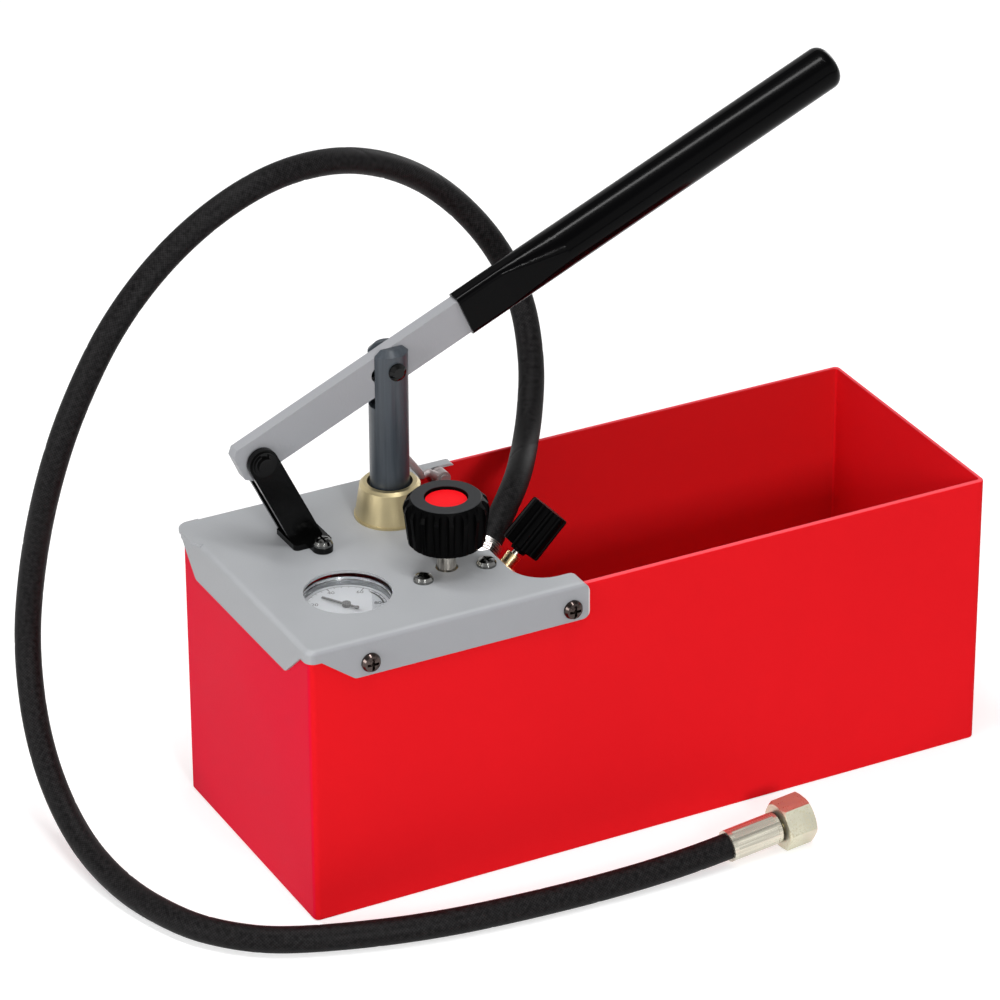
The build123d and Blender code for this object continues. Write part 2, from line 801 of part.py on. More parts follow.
def delivery_plug():
    valve = upright(pump_x, delivery_y)
    body = shaft(valve, delivery_plug_radius, block_top_z - delivery_plug_depth + seat_gap,
                 block_top_z - seat_gap)
    socket = hex_bar(valve, delivery_plug_radius, block_top_z - delivery_plug_depth / 2,
                     block_top_z + overrun)
    return body - socket


# Gauge
def gauge_top_z():
    return cover_top_z - gauge_drop


def gauge_case_low_z():
    return gauge_top_z() - gauge_case_height


def gauge_plane():
    return upright(gauge_x, gauge_y)


def gauge_case():
    top = gauge_top_z() - gauge_bezel_lip - gauge_glass_sheet - seat_gap
    low = gauge_case_low_z()
    dial = gauge_top_z() - gauge_dial_drop - gauge_dial_sheet
    body = shaft(gauge_plane(), gauge_radius, low, top)
    body -= shaft(gauge_plane(), gauge_radius - gauge_wall, dial, top + overrun)
    body -= shaft(gauge_plane(), gauge_radius - 2 * gauge_wall, low + gauge_wall, dial + overrun)
    body += shaft(gauge_plane(), gauge_stem_radius, low - gauge_stem_length, low + gauge_wall)
    body += shaft(gauge_plane(), gauge_stem_radius / 2, low, dial - gauge_dial_sheet)
    body -= shaft(gauge_plane(), gauge_shaft_radius + running_gap, low + gauge_wall, dial + overrun)
    return body


def gauge_bezel():
    """Pressed ring that holds the glass over the case."""
    top = gauge_top_z()
    body = shaft(gauge_plane(), gauge_bezel_radius, top - gauge_bezel_height, top)
    rim = body.faces().sort_by(Axis.Z)[-1].edges()
    body = fillet(rim, gauge_bezel_lip)
    body -= shaft(gauge_plane(), gauge_radius + seat_gap, top - gauge_bezel_height - overrun,
                  top - gauge_bezel_lip)
    body -= shaft(gauge_plane(), gauge_bezel_inner, top - gauge_bezel_height - overrun, top + overrun)
    return body


def gauge_glass():
    top = gauge_top_z() - gauge_bezel_lip - seat_gap / 2
    return shaft(gauge_plane(), gauge_radius - seat_gap, top - gauge_glass_sheet, top)


def gauge_dial():
    top = gauge_top_z() - gauge_dial_drop
    plate = shaft(gauge_plane(), gauge_radius - gauge_wall - seat_gap,
                  top - gauge_dial_sheet + seat_gap, top)
    return plate - shaft(gauge_plane(), gauge_shaft_radius + free_gap, top - overrun, top + overrun)


def gauge_needle():
    """Pointer, its counterweight tail, hub and spindle."""
    low = gauge_top_z() - gauge_dial_drop + gauge_needle_lift
    pointer = slab((-gauge_needle_tail, gauge_needle_length),
                   (-gauge_needle_width / 2, gauge_needle_width / 2), (0, gauge_needle_sheet))
    pointer += Pos(-gauge_needle_tail, 0, gauge_needle_sheet / 2) * Cylinder(
        gauge_needle_width, gauge_needle_sheet)
    body = Pos(gauge_x, gauge_y, low) * Rot(0, 0, gauge_needle_angle) * pointer
    body += shaft(gauge_plane(), gauge_hub_radius, low - gauge_needle_lift / 2,
                  low + 2 * gauge_needle_sheet)
    body += shaft(gauge_plane(), gauge_shaft_radius, gauge_case_low_z() + 2 * gauge_wall, low)
    return body


def elbow_z():
    return gauge_case_low_z() - gauge_stem_length - elbow_floor + passage_radius


def gauge_elbow():
    """Carries the gauge beside the valve block and brings it the pressure."""
    low = gauge_case_low_z() - gauge_stem_length - elbow_floor - passage_radius
    top = gauge_case_low_z() - seat_gap - gauge_wall
    body = shaft(gauge_plane(), elbow_radius, low, top)
    z = elbow_z()
    arm = Plane(origin=(gauge_x, gauge_y, z), z_dir=(1, 0, 0))
    reach = pump_x - block_left - gauge_x - seat_gap
    body += shaft(arm, elbow_radius * elbow_arm_share, 0, reach)
    body -= shaft(gauge_plane(), gauge_stem_radius + seat_gap, top - gauge_stem_length, top + overrun)
    body -= shaft(gauge_plane(), passage_radius, z, top)
    body -= shaft(arm, passage_radius, 0, reach + overrun)
    return body


# Shut-off valve
def shutoff_spindle():
    spindle = upright(pump_x, spindle_y)
    floor = block_top_z - spindle_bore_depth
    top = shutoff_knob_low_z + shutoff_socket_depth
    body = shaft(spindle, shutoff_spindle_radius, floor + 2 * shutoff_spindle_tip, top)
    shoulder = floor + 2 * shutoff_spindle_tip
    body += turned(spindle, [
        (0, floor + free_gap), (shutoff_spindle_tip / 2, floor + free_gap),
        (shutoff_spindle_radius, shoulder), (0, shoulder)])
    return body


def shutoff_packing_nut():
    """Seal nut let into the block's top under the cover."""
    spindle = upright(pump_x, spindle_y)
    body = shaft(spindle, shutoff_nut_radius, block_top_z - shutoff_nut_height + seat_gap,
                 block_top_z - seat_gap)
    return body - shaft(spindle, shutoff_spindle_radius + running_gap,
                        block_top_z - shutoff_nut_height - overrun, block_top_z + overrun)


def fluted(plane, outline, radius, flutes, flute_radius, flute_depth, low, high):
    """Turned grip with round flutes cut along its flank."""
    body = turned(plane, outline)
    cuts = []
    for i in range(flutes):
        angle = 2 * math.pi * i / flutes
        place = Pos((radius + flute_radius - flute_depth) * math.cos(angle),
                    (radius + flute_radius - flute_depth) * math.sin(angle), (low + high) / 2)
        cuts.append(plane * place * Cylinder(flute_radius, high - low + 2 * overrun))
    for cut in cuts:
        body -= cut
    return body


def shutoff_knob():
    spindle = upright(pump_x, spindle_y)
    low = shutoff_knob_low_z
    high = low + shutoff_knob_height
    outline = [(0, low), (shutoff_knob_low_radius - shutoff_knob_foot, low),
               (shutoff_knob_low_radius, low + shutoff_knob_foot),
               (shutoff_knob_radius, high - shutoff_knob_shoulder),
               (shutoff_knob_bevel_radius, high - shutoff_knob_bevel),
               (shutoff_knob_top_radius, high), (0, high)]
    body = fluted(spindle, outline, shutoff_knob_radius, shutoff_flutes, shutoff_flute_radius,
                  shutoff_flute_depth, low, high)
    body -= shaft(spindle, shutoff_recess_radius, high - shutoff_recess, high + overrun)
    body -= shaft(spindle, shutoff_spindle_radius + seat_gap, low - overrun,
                  low + shutoff_socket_depth + seat_gap)
    return body


def shutoff_cap():
    """Red disc in the knob's top."""
    high = shutoff_knob_low_z + shutoff_knob_height - shutoff_recess
    return shaft(upright(pump_x, spindle_y), shutoff_cap_radius, high + seat_gap,
                 high + shutoff_cap_sheet)


# Release valve
def release_gland():
    release = release_axis()
    tip = -release_gland_tip
    body = shaft(release, release_gland_radius, tip - release_gland_length + seat_gap, tip)
    body += hex_bar(release, release_gland_flats, -release_boss_end + seat_gap,
                    -release_boss_end + release_gland_hex)
    return body - shaft(release, release_stem_radius + running_gap,
                        tip - release_gland_length - overrun, overrun)


def release_spindle():
    release = release_axis()
    low = -release_seat_depth + free_gap
    body = shaft(release, release_stem_radius, low + release_tip_radius, release_stem_socket)
    body += turned(release, [(0, low), (release_tip_radius / 2, low),
                             (release_stem_radius, low + release_tip_radius),
                             (0, low + release_tip_radius)])
    return body


def release_knob():
    release = release_axis()
    high = release_knob_length
    outline = [(0, 0), (release_knob_base_radius - release_knob_edge, 0),
               (release_knob_base_radius, release_knob_edge),
               (release_knob_top_radius, high - release_knob_edge),
               (release_knob_top_radius - release_knob_edge, high), (0, high)]
    body = fluted(release, outline, release_knob_base_radius, release_flutes,
                  release_flute_radius, release_flute_depth, 0, high)
    body += turned(release, [(0, -release_collar_length), (release_gland_radius, -release_collar_length),
                             (release_collar_radius, 0), (0, 0)])
    return body - shaft(release, release_stem_radius + seat_gap, -overrun,
                        release_stem_socket + seat_gap)


# Plunger
def plunger_rod():
    pump = upright(pump_x, plunger_y)
    body = turned(pump, [
        (0, rod_low_z), (rod_radius - rod_low_chamfer, rod_low_z),
        (rod_radius, rod_low_z + rod_low_chamfer), (rod_radius, rod_top_z - rod_top_chamfer),
        (rod_radius - rod_top_chamfer, rod_top_z), (0, rod_top_z)])
    half = bar_thickness / 2 + fork_gap
    body -= slab((pump_x - rod_radius - overrun, pump_x + rod_radius + overrun),
                 (plunger_y - half, plunger_y + half), (rod_top_z - fork_depth, rod_top_z + overrun))
    body -= shaft(across(pump_x, rod_pin_z), rod_pin_radius + seat_gap,
                  plunger_y - rod_radius - overrun, plunger_y + rod_radius + overrun)
    return body


def rod_pin():
    pin = across(pump_x, rod_pin_z)
    front = plunger_y - rod_radius
    rear = plunger_y + rod_radius
    body = shaft(pin, rod_pin_radius, front, rear + rod_clip_sheet + pin_tail)
    flat, edge = rod_pin_dome_shares
    head = turned(pin, [(0, front - rod_pin_head), (rod_pin_head_radius * flat, front - rod_pin_head),
                        (rod_pin_head_radius, front - rod_pin_head * edge),
                        (rod_pin_head_radius, front), (0, front)])
    groove = shaft(pin, rod_pin_radius + overrun, rear + seat_gap, rear + rod_clip_sheet + 3 * seat_gap)
    groove -= shaft(pin, rod_pin_radius - pin_groove, rear - overrun, rear + overrun)
    return body + head - groove


def push_clip(plane, inner, outer, start, end):
    """Open retaining ring, snapped into a pin's groove."""
    body = shaft(plane, outer, start, end) - shaft(plane, inner, start - overrun, end + overrun)
    mouth = Box(inner * clip_mouth_share, 2 * (outer - inner * clip_grasp_share), end - start + overrun)
    return body - plane * Pos(0, -outer, (start + end) / 2) * mouth


def rod_clip():
    pin = across(pump_x, rod_pin_z)
    start = plunger_y + rod_radius + 2 * seat_gap
    return push_clip(pin, rod_pin_radius - pin_groove + seat_gap, rod_clip_radius, start,
                     start + rod_clip_sheet)


# Lever
def lever_frame():
    """Place of the fulcrum, turned so that +X runs up the bar."""
    return Pos(fulcrum) * Rot(0, -lever_angle, 0)


def lever_bar():
    half = bar_thickness / 2
    low = lever_offset - bar_height / 2
    high = lever_offset + bar_height / 2
    body = slab((-bar_tail, bar_reach), (-half, half), (low, high))
    ends = [e for e in body.edges().filter_by(Axis.Y) if e.center().X < 0]
    body = chamfer(ends, bar_corner)
    body -= shaft(across(0, 0), fulcrum_pin_radius + running_gap, -half - overrun, half + overrun)
    near = rod_pin_reach - lever_slot_inward
    far = rod_pin_reach + lever_slot_outward
    tall = rod_pin_radius + lever_slot_play
    body -= slab((near, far), (-half - overrun, half + overrun),
                 (lever_offset - tall, lever_offset + tall))
    for x in (near, far):
        body -= shaft(across(x, lever_offset), tall, -half - overrun, half + overrun)
    return lever_frame() * body


def lever_grip():
    """Plastic sleeve: flattened over the bar at its mouth and round further up."""
    centre = lever_offset
    start = grip_from_fulcrum
    flat_end = start + grip_flat_length
    round_start = flat_end + grip_taper_length
    end = start + grip_length

    def section(x, width, height, radius):
        plane = Plane(origin=(x, 0, centre), x_dir=(0, 1, 0), z_dir=(1, 0, 0))
        return plane * RectangleRounded(width, height, radius)

    corner = (grip_mouth_width / 2 - seat_gap) * grip_corner_share
    full = 2 * grip_radius
    flat = extrude(section(start, grip_mouth_width, grip_mouth_height, corner), grip_flat_length)
    neck = loft([section(flat_end, grip_mouth_width, grip_mouth_height, corner),
                 section(round_start, full - seat_gap, full - seat_gap, grip_radius - 2 * seat_gap)])
    axis = Plane(origin=(round_start, 0, centre), z_dir=(1, 0, 0))
    barrel = shaft(axis, grip_radius - seat_gap / 2, 0, end - round_start)
    tip = barrel.faces().sort_by(Axis.X)[-1].edges()
    barrel = fillet(tip, grip_end_radius)
    body = flat + neck + barrel
    room = slab((start - overrun, bar_reach + grip_bar_gap),
                (-bar_thickness / 2 - grip_bar_gap, bar_thickness / 2 + grip_bar_gap),
                (centre - bar_height / 2 - grip_bar_gap, centre + bar_height / 2 + grip_bar_gap))
    return lever_frame() * (body - room)


# Fulcrum bracket
def arm_inner():
    return bar_thickness / 2 + bracket_arm_gap


def fulcrum_bracket():
    """Folded steel stirrup: a foot on the cover and two leaning arms beside the lever."""
    foot_top = cover_top_z + bracket_sheet
    left = fulcrum_x + bracket_foot_left
    right = fulcrum_x + bracket_foot_right
    foot = slab((left, right), (plunger_y - bracket_foot_front, plunger_y + bracket_foot_rear),
                (cover_top_z, foot_top))
    corner = foot.edges().filter_by(Axis.Z).sort_by(lambda e: e.center().X + e.center().Y)[0]
    foot = fillet(corner, bracket_corner_radius)
    for s in (-1, 1):
        y = plunger_y + s * foot_screw_spread
        foot += shaft(upright(foot_screw_x, y), bracket_lug_radius, cover_top_z, foot_top)
        foot += slab((foot_screw_x - bracket_lug_radius, foot_screw_x + bracket_lug_radius),
                     (min(y, plunger_y), max(y, plunger_y)), (cover_top_z, foot_top))
    body = foot
    reach = fulcrum_rise / math.cos(math.radians(bracket_lean)) + overrun
    arm = Pos(0, 0, -reach / 2) * Box(2 * bracket_arm_radius, bracket_sheet, reach)
    arm = Rot(0, -bracket_lean, 0) * arm
    arm += Rot(90, 0, 0) * Cylinder(bracket_arm_radius, bracket_sheet)
    for s in (-1, 1):
        y = s * (arm_inner() + bracket_sheet / 2)
        body += Pos(fulcrum + Vector(0, y, 0)) * arm
    body &= slab((fulcrum_x - tank_length, fulcrum_x + tank_length), (-tank_width, tank_width),
                 (cover_top_z, rod_top_z))
    body -= shaft(across(fulcrum_x, fulcrum_z), fulcrum_pin_radius + seat_gap,
                  plunger_y - tank_width, plunger_y + tank_width)
    for s in (-1, 1):
        body -= shaft(upright(foot_screw_x, plunger_y + s * foot_screw_spread), screw_hole_radius,
                      cover_top_z - overrun, foot_top + overrun)
    return body


def bracket_screws():
    tops = [Plane(origin=(foot_screw_x, plunger_y + s * foot_screw_spread, cover_top_z + bracket_sheet))
            for s in (-1, 1)]
    return Compound(children=[pan_screw(plane, screw_length) for plane in tops])


def bracket_nuts():
    nuts = []
    for s in (-1, 1):
        place = upright(foot_screw_x, plunger_y + s * foot_screw_spread)
        nut = hex_bar(place, nut_flats, cover_low_z - seat_gap - nut_height, cover_low_z - seat_gap)
        nuts.append(nut - shaft(place, screw_radius + seat_gap, cover_low_z - nut_height - overrun,
                                cover_low_z + overrun))
    return Compound(children=nuts)


def fulcrum_outer():
    return arm_inner() + bracket_sheet + seat_gap + fulcrum_washer_sheet


def fulcrum_pin():
    pin = Plane(origin=fulcrum, x_dir=(1, 0, 0), z_dir=(0, 1, 0))
    end = fulcrum_outer() + fulcrum_clip_sheet + 2 * seat_gap + fulcrum_pin_tail
    body = shaft(pin, fulcrum_pin_radius, -end, end)
    for s in (-1, 1):
        near = fulcrum_outer() + seat_gap / 2
        far = near + fulcrum_clip_sheet + 2 * seat_gap
        low, high = sorted((s * near, s * far))
        groove = shaft(pin, fulcrum_pin_radius + overrun, low, high)
        body -= groove - shaft(pin, fulcrum_pin_radius - pin_groove, low - overrun, high + overrun)
    return body


def fulcrum_washers():
    """Outer washers by the clips and inner ones between the arms and the bar."""
    pin = Plane(origin=fulcrum, x_dir=(1, 0, 0), z_dir=(0, 1, 0))
    rings = []
    for s in (-1, 1):
        spans = [(arm_inner() + bracket_sheet + seat_gap, fulcrum_outer()),
                 (arm_inner() - seat_gap - fulcrum_washer_sheet, arm_inner() - seat_gap)]
        for near, far in spans:
            low, high = sorted((s * near, s * far))
            rings.append(shaft(pin, fulcrum_washer_radius, low, high)
                         - shaft(pin, fulcrum_pin_radius + seat_gap, low - overrun, high + overrun))
    return Compound(children=rings)


def fulcrum_clips():
    clips = []
    for s in (-1, 1):
        near = fulcrum_outer() + seat_gap
        low, high = sorted((s * near, s * (near + fulcrum_clip_sheet)))
        pin = Plane(origin=fulcrum, x_dir=(1, 0, 0), z_dir=(0, 1, 0))
        clips.append(push_clip(pin, fulcrum_pin_radius - pin_groove + seat_gap, fulcrum_clip_radius,
                               low, high))
    return Compound(children=clips)


# Hose and its fittings
def hose():
    """Plain tube along straight runs joined by the largest arcs that the runs allow."""
    pts = hose_points()
    radii = []
    for a, b, c in zip(pts, pts[1:], pts[2:]):
        run = min((b - a).length, (c - b).length)
        half_turn = math.radians((b - a).get_angle(c - b)) / 2
        radii.append(arc_share * run / math.tan(half_turn))
    path = FilletPolyline(*pts, radius=radii)
    section = Plane(origin=pts[0], z_dir=pts[1] - pts[0]) * Circle(hose_radius)
    tube = sweep(section, path=path)
    print("hose radii", " ".join(f"{r:.0f}" for r in radii))
    expected = math.pi * hose_radius ** 2 * path.length
    print(f"hose length {path.length:.1f}, volume {tube.volume:.0f} for {expected:.0f}")
    return tube


def ferrule(plane, radius, start, end):
    """Crimped sleeve with the jaws' flats pressed into it."""
    body = shaft(plane, radius, start, end)
    low, high = start + ferrule_edge, end - ferrule_edge
    flats = bar(plane, 2 * (radius - ferrule_flat), ferrule_jaws, low, high)
    body -= shaft(plane, radius + overrun, low, high) - flats
    return body - shaft(plane, hose_bore_radius, start - overrun, end + overrun)


def pump_ferrule():
    return ferrule(hose_axis(), pump_ferrule_radius, -pump_ferrule_length, 0)


def hose_nipple():
    hose = hose_axis()
    end = -pump_ferrule_length
    low = end - nipple_length / 2 - nipple_length
    body = shaft(hose, nipple_radius, low + seat_gap, end)
    body += shaft(hose, hose_bore_radius - seat_gap, end, -seat_gap)
    return body - shaft(hose, passage_radius, low - overrun, overrun)


def end_ferrule():
    return ferrule(hose_end_axis(), end_ferrule_radius, 0, end_ferrule_length)


def hose_tail():
    """Tail piece in the end ferrule, with the collar that the swivel nut turns on."""
    axis = hose_end_axis()
    neck = end_ferrule_length + tail_neck_length + swivel_gap
    body = shaft(axis, hose_bore_radius - seat_gap, seat_gap, end_ferrule_length)
    body += shaft(axis, tail_neck_radius, end_ferrule_length, neck + tail_collar_length)
    body += shaft(axis, tail_collar_radius, neck, neck + tail_collar_length)
    return body - shaft(axis, passage_radius, -overrun, neck + tail_collar_length + overrun)


def swivel_nut():
    axis = hose_end_axis()
    start = end_ferrule_length + swivel_gap
    end = start + swivel_length
    body = hex_bar(axis, swivel_flats, start, end)
    corner = swivel_flats / math.sqrt(3)
    round_off = turned(axis, [
        (0, start), (corner - swivel_edge, start), (corner, start + swivel_edge / 2),
        (corner, end - swivel_edge / 2), (corner - swivel_edge, end), (0, end)])
    body &= round_off
    neck = end_ferrule_length + tail_neck_length + swivel_gap
    body -= shaft(axis, tail_neck_radius + free_gap, start - overrun, end)
    thread = neck + tail_collar_length + seat_gap + hose_washer_sheet + swivel_relief_past
    body -= shaft(axis, swivel_relief_radius, neck - free_gap, thread)
    body -= shaft(axis, swivel_thread_radius, neck, end + overrun)
    return body


def hose_washer():
    axis = hose_end_axis()
    low = end_ferrule_length + tail_neck_length + swivel_gap + tail_collar_length + seat_gap
    body = shaft(axis, tail_collar_radius, low, low + hose_washer_sheet)
    return body - shaft(axis, hose_washer_bore, low - overrun, low + hose_washer_sheet + overrun)


# Transport hook
def hook_pivot():
    y = cover_half_width - rear_ear_width - hook_pivot_in + hook_wire_radius
    return Vector(ear_end_x - hook_pivot_from_ear, y, cover_top_z - hook_pivot_drop)


def hook_tab():
    """Bent tab welded under the cover's rear ear, upright beside the hook's eye."""
    pivot = hook_pivot()
    half = hook_tab_width / 2
    front = pivot.Y + hook_wire_radius + free_gap
    rear = tank_width / 2 - tank_sheet - free_gap
    low = cover_low_z - hook_tab_sheet
    tab = slab((pivot.X - half, pivot.X + half), (front, front + hook_tab_sheet), (low, pivot.Z))
    tab += shaft(across(pivot.X, pivot.Z), half, front, front + hook_tab_sheet)
    tab &= slab((pivot.X - half, pivot.X + half), (front, rear), (low, cover_top_z + hook_tab_width))
    tab += slab((pivot.X - half, pivot.X + half), (front, rear), (low, cover_low_z))
    return tab - shaft(across(pivot.X, pivot.Z), hook_rivet_radius + seat_gap, front - overrun,
                       front + hook_tab_sheet + overrun)


def hook_rivet():
    pivot = hook_pivot()
    plane = across(pivot.X, pivot.Z)
    front = pivot.Y - hook_wire_radius - free_gap
    rear = pivot.Y + hook_wire_radius + free_gap + hook_tab_sheet
    body = shaft(plane, hook_rivet_radius, front, rear)
    return body + shaft(plane, hook_rivet_head_radius, front - hook_rivet_head, front)


def transport_hook():
    """Bent wire that swings about its eye."""
    pivot = hook_pivot()
    plane = across(pivot.X, pivot.Z)
    body = shaft(plane, hook_eye_radius, pivot.Y - hook_wire_radius, pivot.Y + hook_wire_radius)
    bends = [pivot + Vector(x, 0, z) for x, z in hook_bends]
    start = pivot + (bends[0] - pivot).normalized() * (hook_eye_radius - hook_wire_radius)
    for a, b in zip([start] + bends, bends):
        body += shaft(Plane(origin=a, z_dir=b - a), hook_wire_radius, 0, (b - a).length)
        body += Pos(b) * Sphere(hook_wire_radius)
    hole = hook_rivet_radius + running_gap
    return body - shaft(plane, hole, pivot.Y - overrun, pivot.Y + overrun)


def main():
    os.makedirs("parts", exist_ok=True)
    for piece in (tank, cover_plate, cover_screws, cover_inserts, block_screws, gland_nut,
                  wiper_ring, gland_packing, guide_bush, valve_block, pump_barrel, foot_valve,
                  suction_ball, suction_strainer, delivery_ball, delivery_spring, delivery_plug,
                  gauge_case, gauge_bezel, gauge_glass, gauge_dial, gauge_needle, gauge_elbow,
                  shutoff_spindle, shutoff_packing_nut, shutoff_knob, shutoff_cap,
                  release_gland, release_spindle, release_knob, plunger_rod, rod_pin, rod_clip,
                  lever_bar, lever_grip, fulcrum_bracket, bracket_screws, bracket_nuts,
                  fulcrum_pin, fulcrum_washers, fulcrum_clips, hose, pump_ferrule, hose_nipple,
                  end_ferrule, hose_tail, swivel_nut, hose_washer, hook_tab, hook_rivet,
                  transport_hook):
        save(piece.__name__, piece())


main()
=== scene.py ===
import json
import math

import bmesh
import bpy
from mathutils import Matrix, Vector


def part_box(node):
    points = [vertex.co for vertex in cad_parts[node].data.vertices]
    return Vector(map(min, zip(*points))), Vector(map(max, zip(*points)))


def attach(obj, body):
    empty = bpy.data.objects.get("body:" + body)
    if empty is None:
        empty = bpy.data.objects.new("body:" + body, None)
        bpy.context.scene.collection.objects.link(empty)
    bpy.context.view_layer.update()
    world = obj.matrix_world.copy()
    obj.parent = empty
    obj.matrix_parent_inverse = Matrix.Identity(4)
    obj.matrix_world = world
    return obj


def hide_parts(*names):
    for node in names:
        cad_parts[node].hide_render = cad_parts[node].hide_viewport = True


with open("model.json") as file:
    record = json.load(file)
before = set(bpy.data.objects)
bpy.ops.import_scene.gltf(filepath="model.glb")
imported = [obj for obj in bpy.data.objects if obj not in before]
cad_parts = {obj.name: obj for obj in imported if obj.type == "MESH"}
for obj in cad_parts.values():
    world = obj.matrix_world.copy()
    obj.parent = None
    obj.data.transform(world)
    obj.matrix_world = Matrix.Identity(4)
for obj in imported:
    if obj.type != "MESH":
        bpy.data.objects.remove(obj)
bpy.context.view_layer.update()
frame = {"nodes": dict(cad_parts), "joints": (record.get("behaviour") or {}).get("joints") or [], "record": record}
MM = 0.001

# Places on the pump, in metres, from the frame
tank_low, tank_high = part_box("tank")
cover_low, cover_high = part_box("cover_plate")
rod_low, rod_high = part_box("plunger_rod")
pump_x = (rod_low.x + rod_high.x) / 2
plunger_y = (rod_low.y + rod_high.y) / 2
knob_low, knob_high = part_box("shutoff_knob")
spindle_y = (knob_low.y + knob_high.y) / 2
bezel_low, bezel_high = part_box("gauge_bezel")
gauge_x = (bezel_low.x + bezel_high.x) / 2
gauge_y = (bezel_low.y + bezel_high.y) / 2
joints = {joint["name"]: joint for joint in frame["joints"]}

# The hose's route, as its maker chose it, and its section
hose_points = [
    (-61.8, -11.2, 148.7),
    (-47.7, -0.1, 157.9),
    (-36.3, 10.6, 162.8),
    (-26.0, 23.0, 165.0),
    (-11.5, 45.0, 164.5),
    (2.5, 65.5, 173.0),
    (14.0, 85.0, 190.0),
    (18.0, 103.5, 217.5),
    (8.5, 117.5, 246.5),
    (-15.5, 124.0, 276.5),
    (-50.0, 114.5, 302.5),
    (-89.5, 102.5, 319.0),
    (-135.0, 89.5, 322.0),
    (-178.0, 88.5, 301.0),
    (-217.5, 79.5, 271.5),
    (-239.5, 86.0, 226.0),
    (-254.5, 88.0, 185.0),
    (-260.0, 102.0, 132.0),
    (-266.0, 100.5, 85.0),
    (-272.5, 72.5, 44.5),
    (-270.5, 37.0, 14.0),
    (-266.0, -10.0, 6.7),
    (-253.0, -52.0, 6.7),
    (-237.5, -73.5, 6.7),
    (-217.0, -90.0, 6.7),
    (-177.0, -104.5, 6.7),
    (-138.5, -113.5, 6.7),
    (-98.0, -118.0, 6.7),
    (-54.0, -120.5, 6.7),
    (-9.0, -121.2, 8.0),
    (15.2, -120.1, 9.8),
]
hose_radius = 6.7 * MM
hose_sides = 40
hose_ring_step = 1.2 * MM
route_fineness = 24
seam_pitch = 57 * MM
seam_depth = 0.28 * MM
seam_half_width = 0.9 * MM
thread_pitch = 0.8 * MM
thread_relief = 0.05 * MM


def joint_place(name):
    """A joint's centre and its axis."""
    joint = joints[name]
    return Vector(joint["pos_m"]), Vector(joint["axis"]).normalized()


# Shader helpers
def node(tree, kind, **values):
    """A new node of the tree, with its own settings."""
    made = tree.nodes.new(kind)
    for key, value in values.items():
        setattr(made, key, value)
    return made


def effect(name, inputs, outputs):
    """A new shader node group with its named sockets: its tree, its input node, its output node."""
    tree = bpy.data.node_groups.new(name, "ShaderNodeTree")
    for label, kind, default in inputs:
        socket = tree.interface.new_socket(label, in_out="INPUT", socket_type=kind)
        if default is not None:
            socket.default_value = default
    for label, kind in outputs:
        tree.interface.new_socket(label, in_out="OUTPUT", socket_type=kind)
    return tree, node(tree, "NodeGroupInput"), node(tree, "NodeGroupOutput")


def grain_effect():
    """Two sizes of noise: a fine height for a Bump node, and a soft cloud from 0 to 1."""
    tree, start, end = effect(
        "fine_grain",
        [("Vector", "NodeSocketVector", None), ("Fine", "NodeSocketFloat", 900.0),
         ("Cloud", "NodeSocketFloat", 14.0)],
        [("Height", "NodeSocketFloat"), ("Cloud", "NodeSocketFloat")])
    fine = node(tree, "ShaderNodeTexNoise")
    fine.inputs["Detail"].default_value = 2.0
    cloud = node(tree, "ShaderNodeTexNoise")
    cloud.inputs["Detail"].default_value = 5.0
    tree.links.new(start.outputs["Vector"], fine.inputs["Vector"])
    tree.links.new(start.outputs["Fine"], fine.inputs["Scale"])
    tree.links.new(start.outputs["Vector"], cloud.inputs["Vector"])
    tree.links.new(start.outputs["Cloud"], cloud.inputs["Scale"])
    tree.links.new(fine.outputs["Fac"], end.inputs["Height"])
    tree.links.new(cloud.outputs["Fac"], end.inputs["Cloud"])
    return tree


def turned_effect():
    """Fine tool rings round the Z axis of the vector that it is given."""
    tree, start, end = effect(
        "tool_rings",
        [("Vector", "NodeSocketVector", None), ("Rings", "NodeSocketFloat", 2600.0)],
        [("Height", "NodeSocketFloat"), ("Streak", "NodeSocketFloat")])
    split = node(tree, "ShaderNodeSeparateXYZ")
    radius = node(tree, "ShaderNodeVectorMath", operation="LENGTH")
    flat = node(tree, "ShaderNodeVectorMath", operation="MULTIPLY")
    flat.inputs[1].default_value = (1.0, 1.0, 0.0)
    place = node(tree, "ShaderNodeCombineXYZ")
    lines = node(tree, "ShaderNodeTexNoise", noise_dimensions="2D")
    lines.inputs["Detail"].default_value = 3.0
    streak = node(tree, "ShaderNodeTexNoise")
    streak.inputs["Scale"].default_value = 60.0
    tree.links.new(start.outputs["Vector"], split.inputs[0])
    tree.links.new(start.outputs["Vector"], flat.inputs[0])
    tree.links.new(flat.outputs[0], radius.inputs[0])
    tree.links.new(split.outputs["Z"], place.inputs["X"])
    tree.links.new(radius.outputs["Value"], place.inputs["Y"])
    tree.links.new(place.outputs[0], lines.inputs["Vector"])
    tree.links.new(start.outputs["Rings"], lines.inputs["Scale"])
    tree.links.new(start.outputs["Vector"], streak.inputs["Vector"])
    tree.links.new(lines.outputs["Fac"], end.inputs["Height"])
    tree.links.new(streak.outputs["Fac"], end.inputs["Streak"])
    return tree


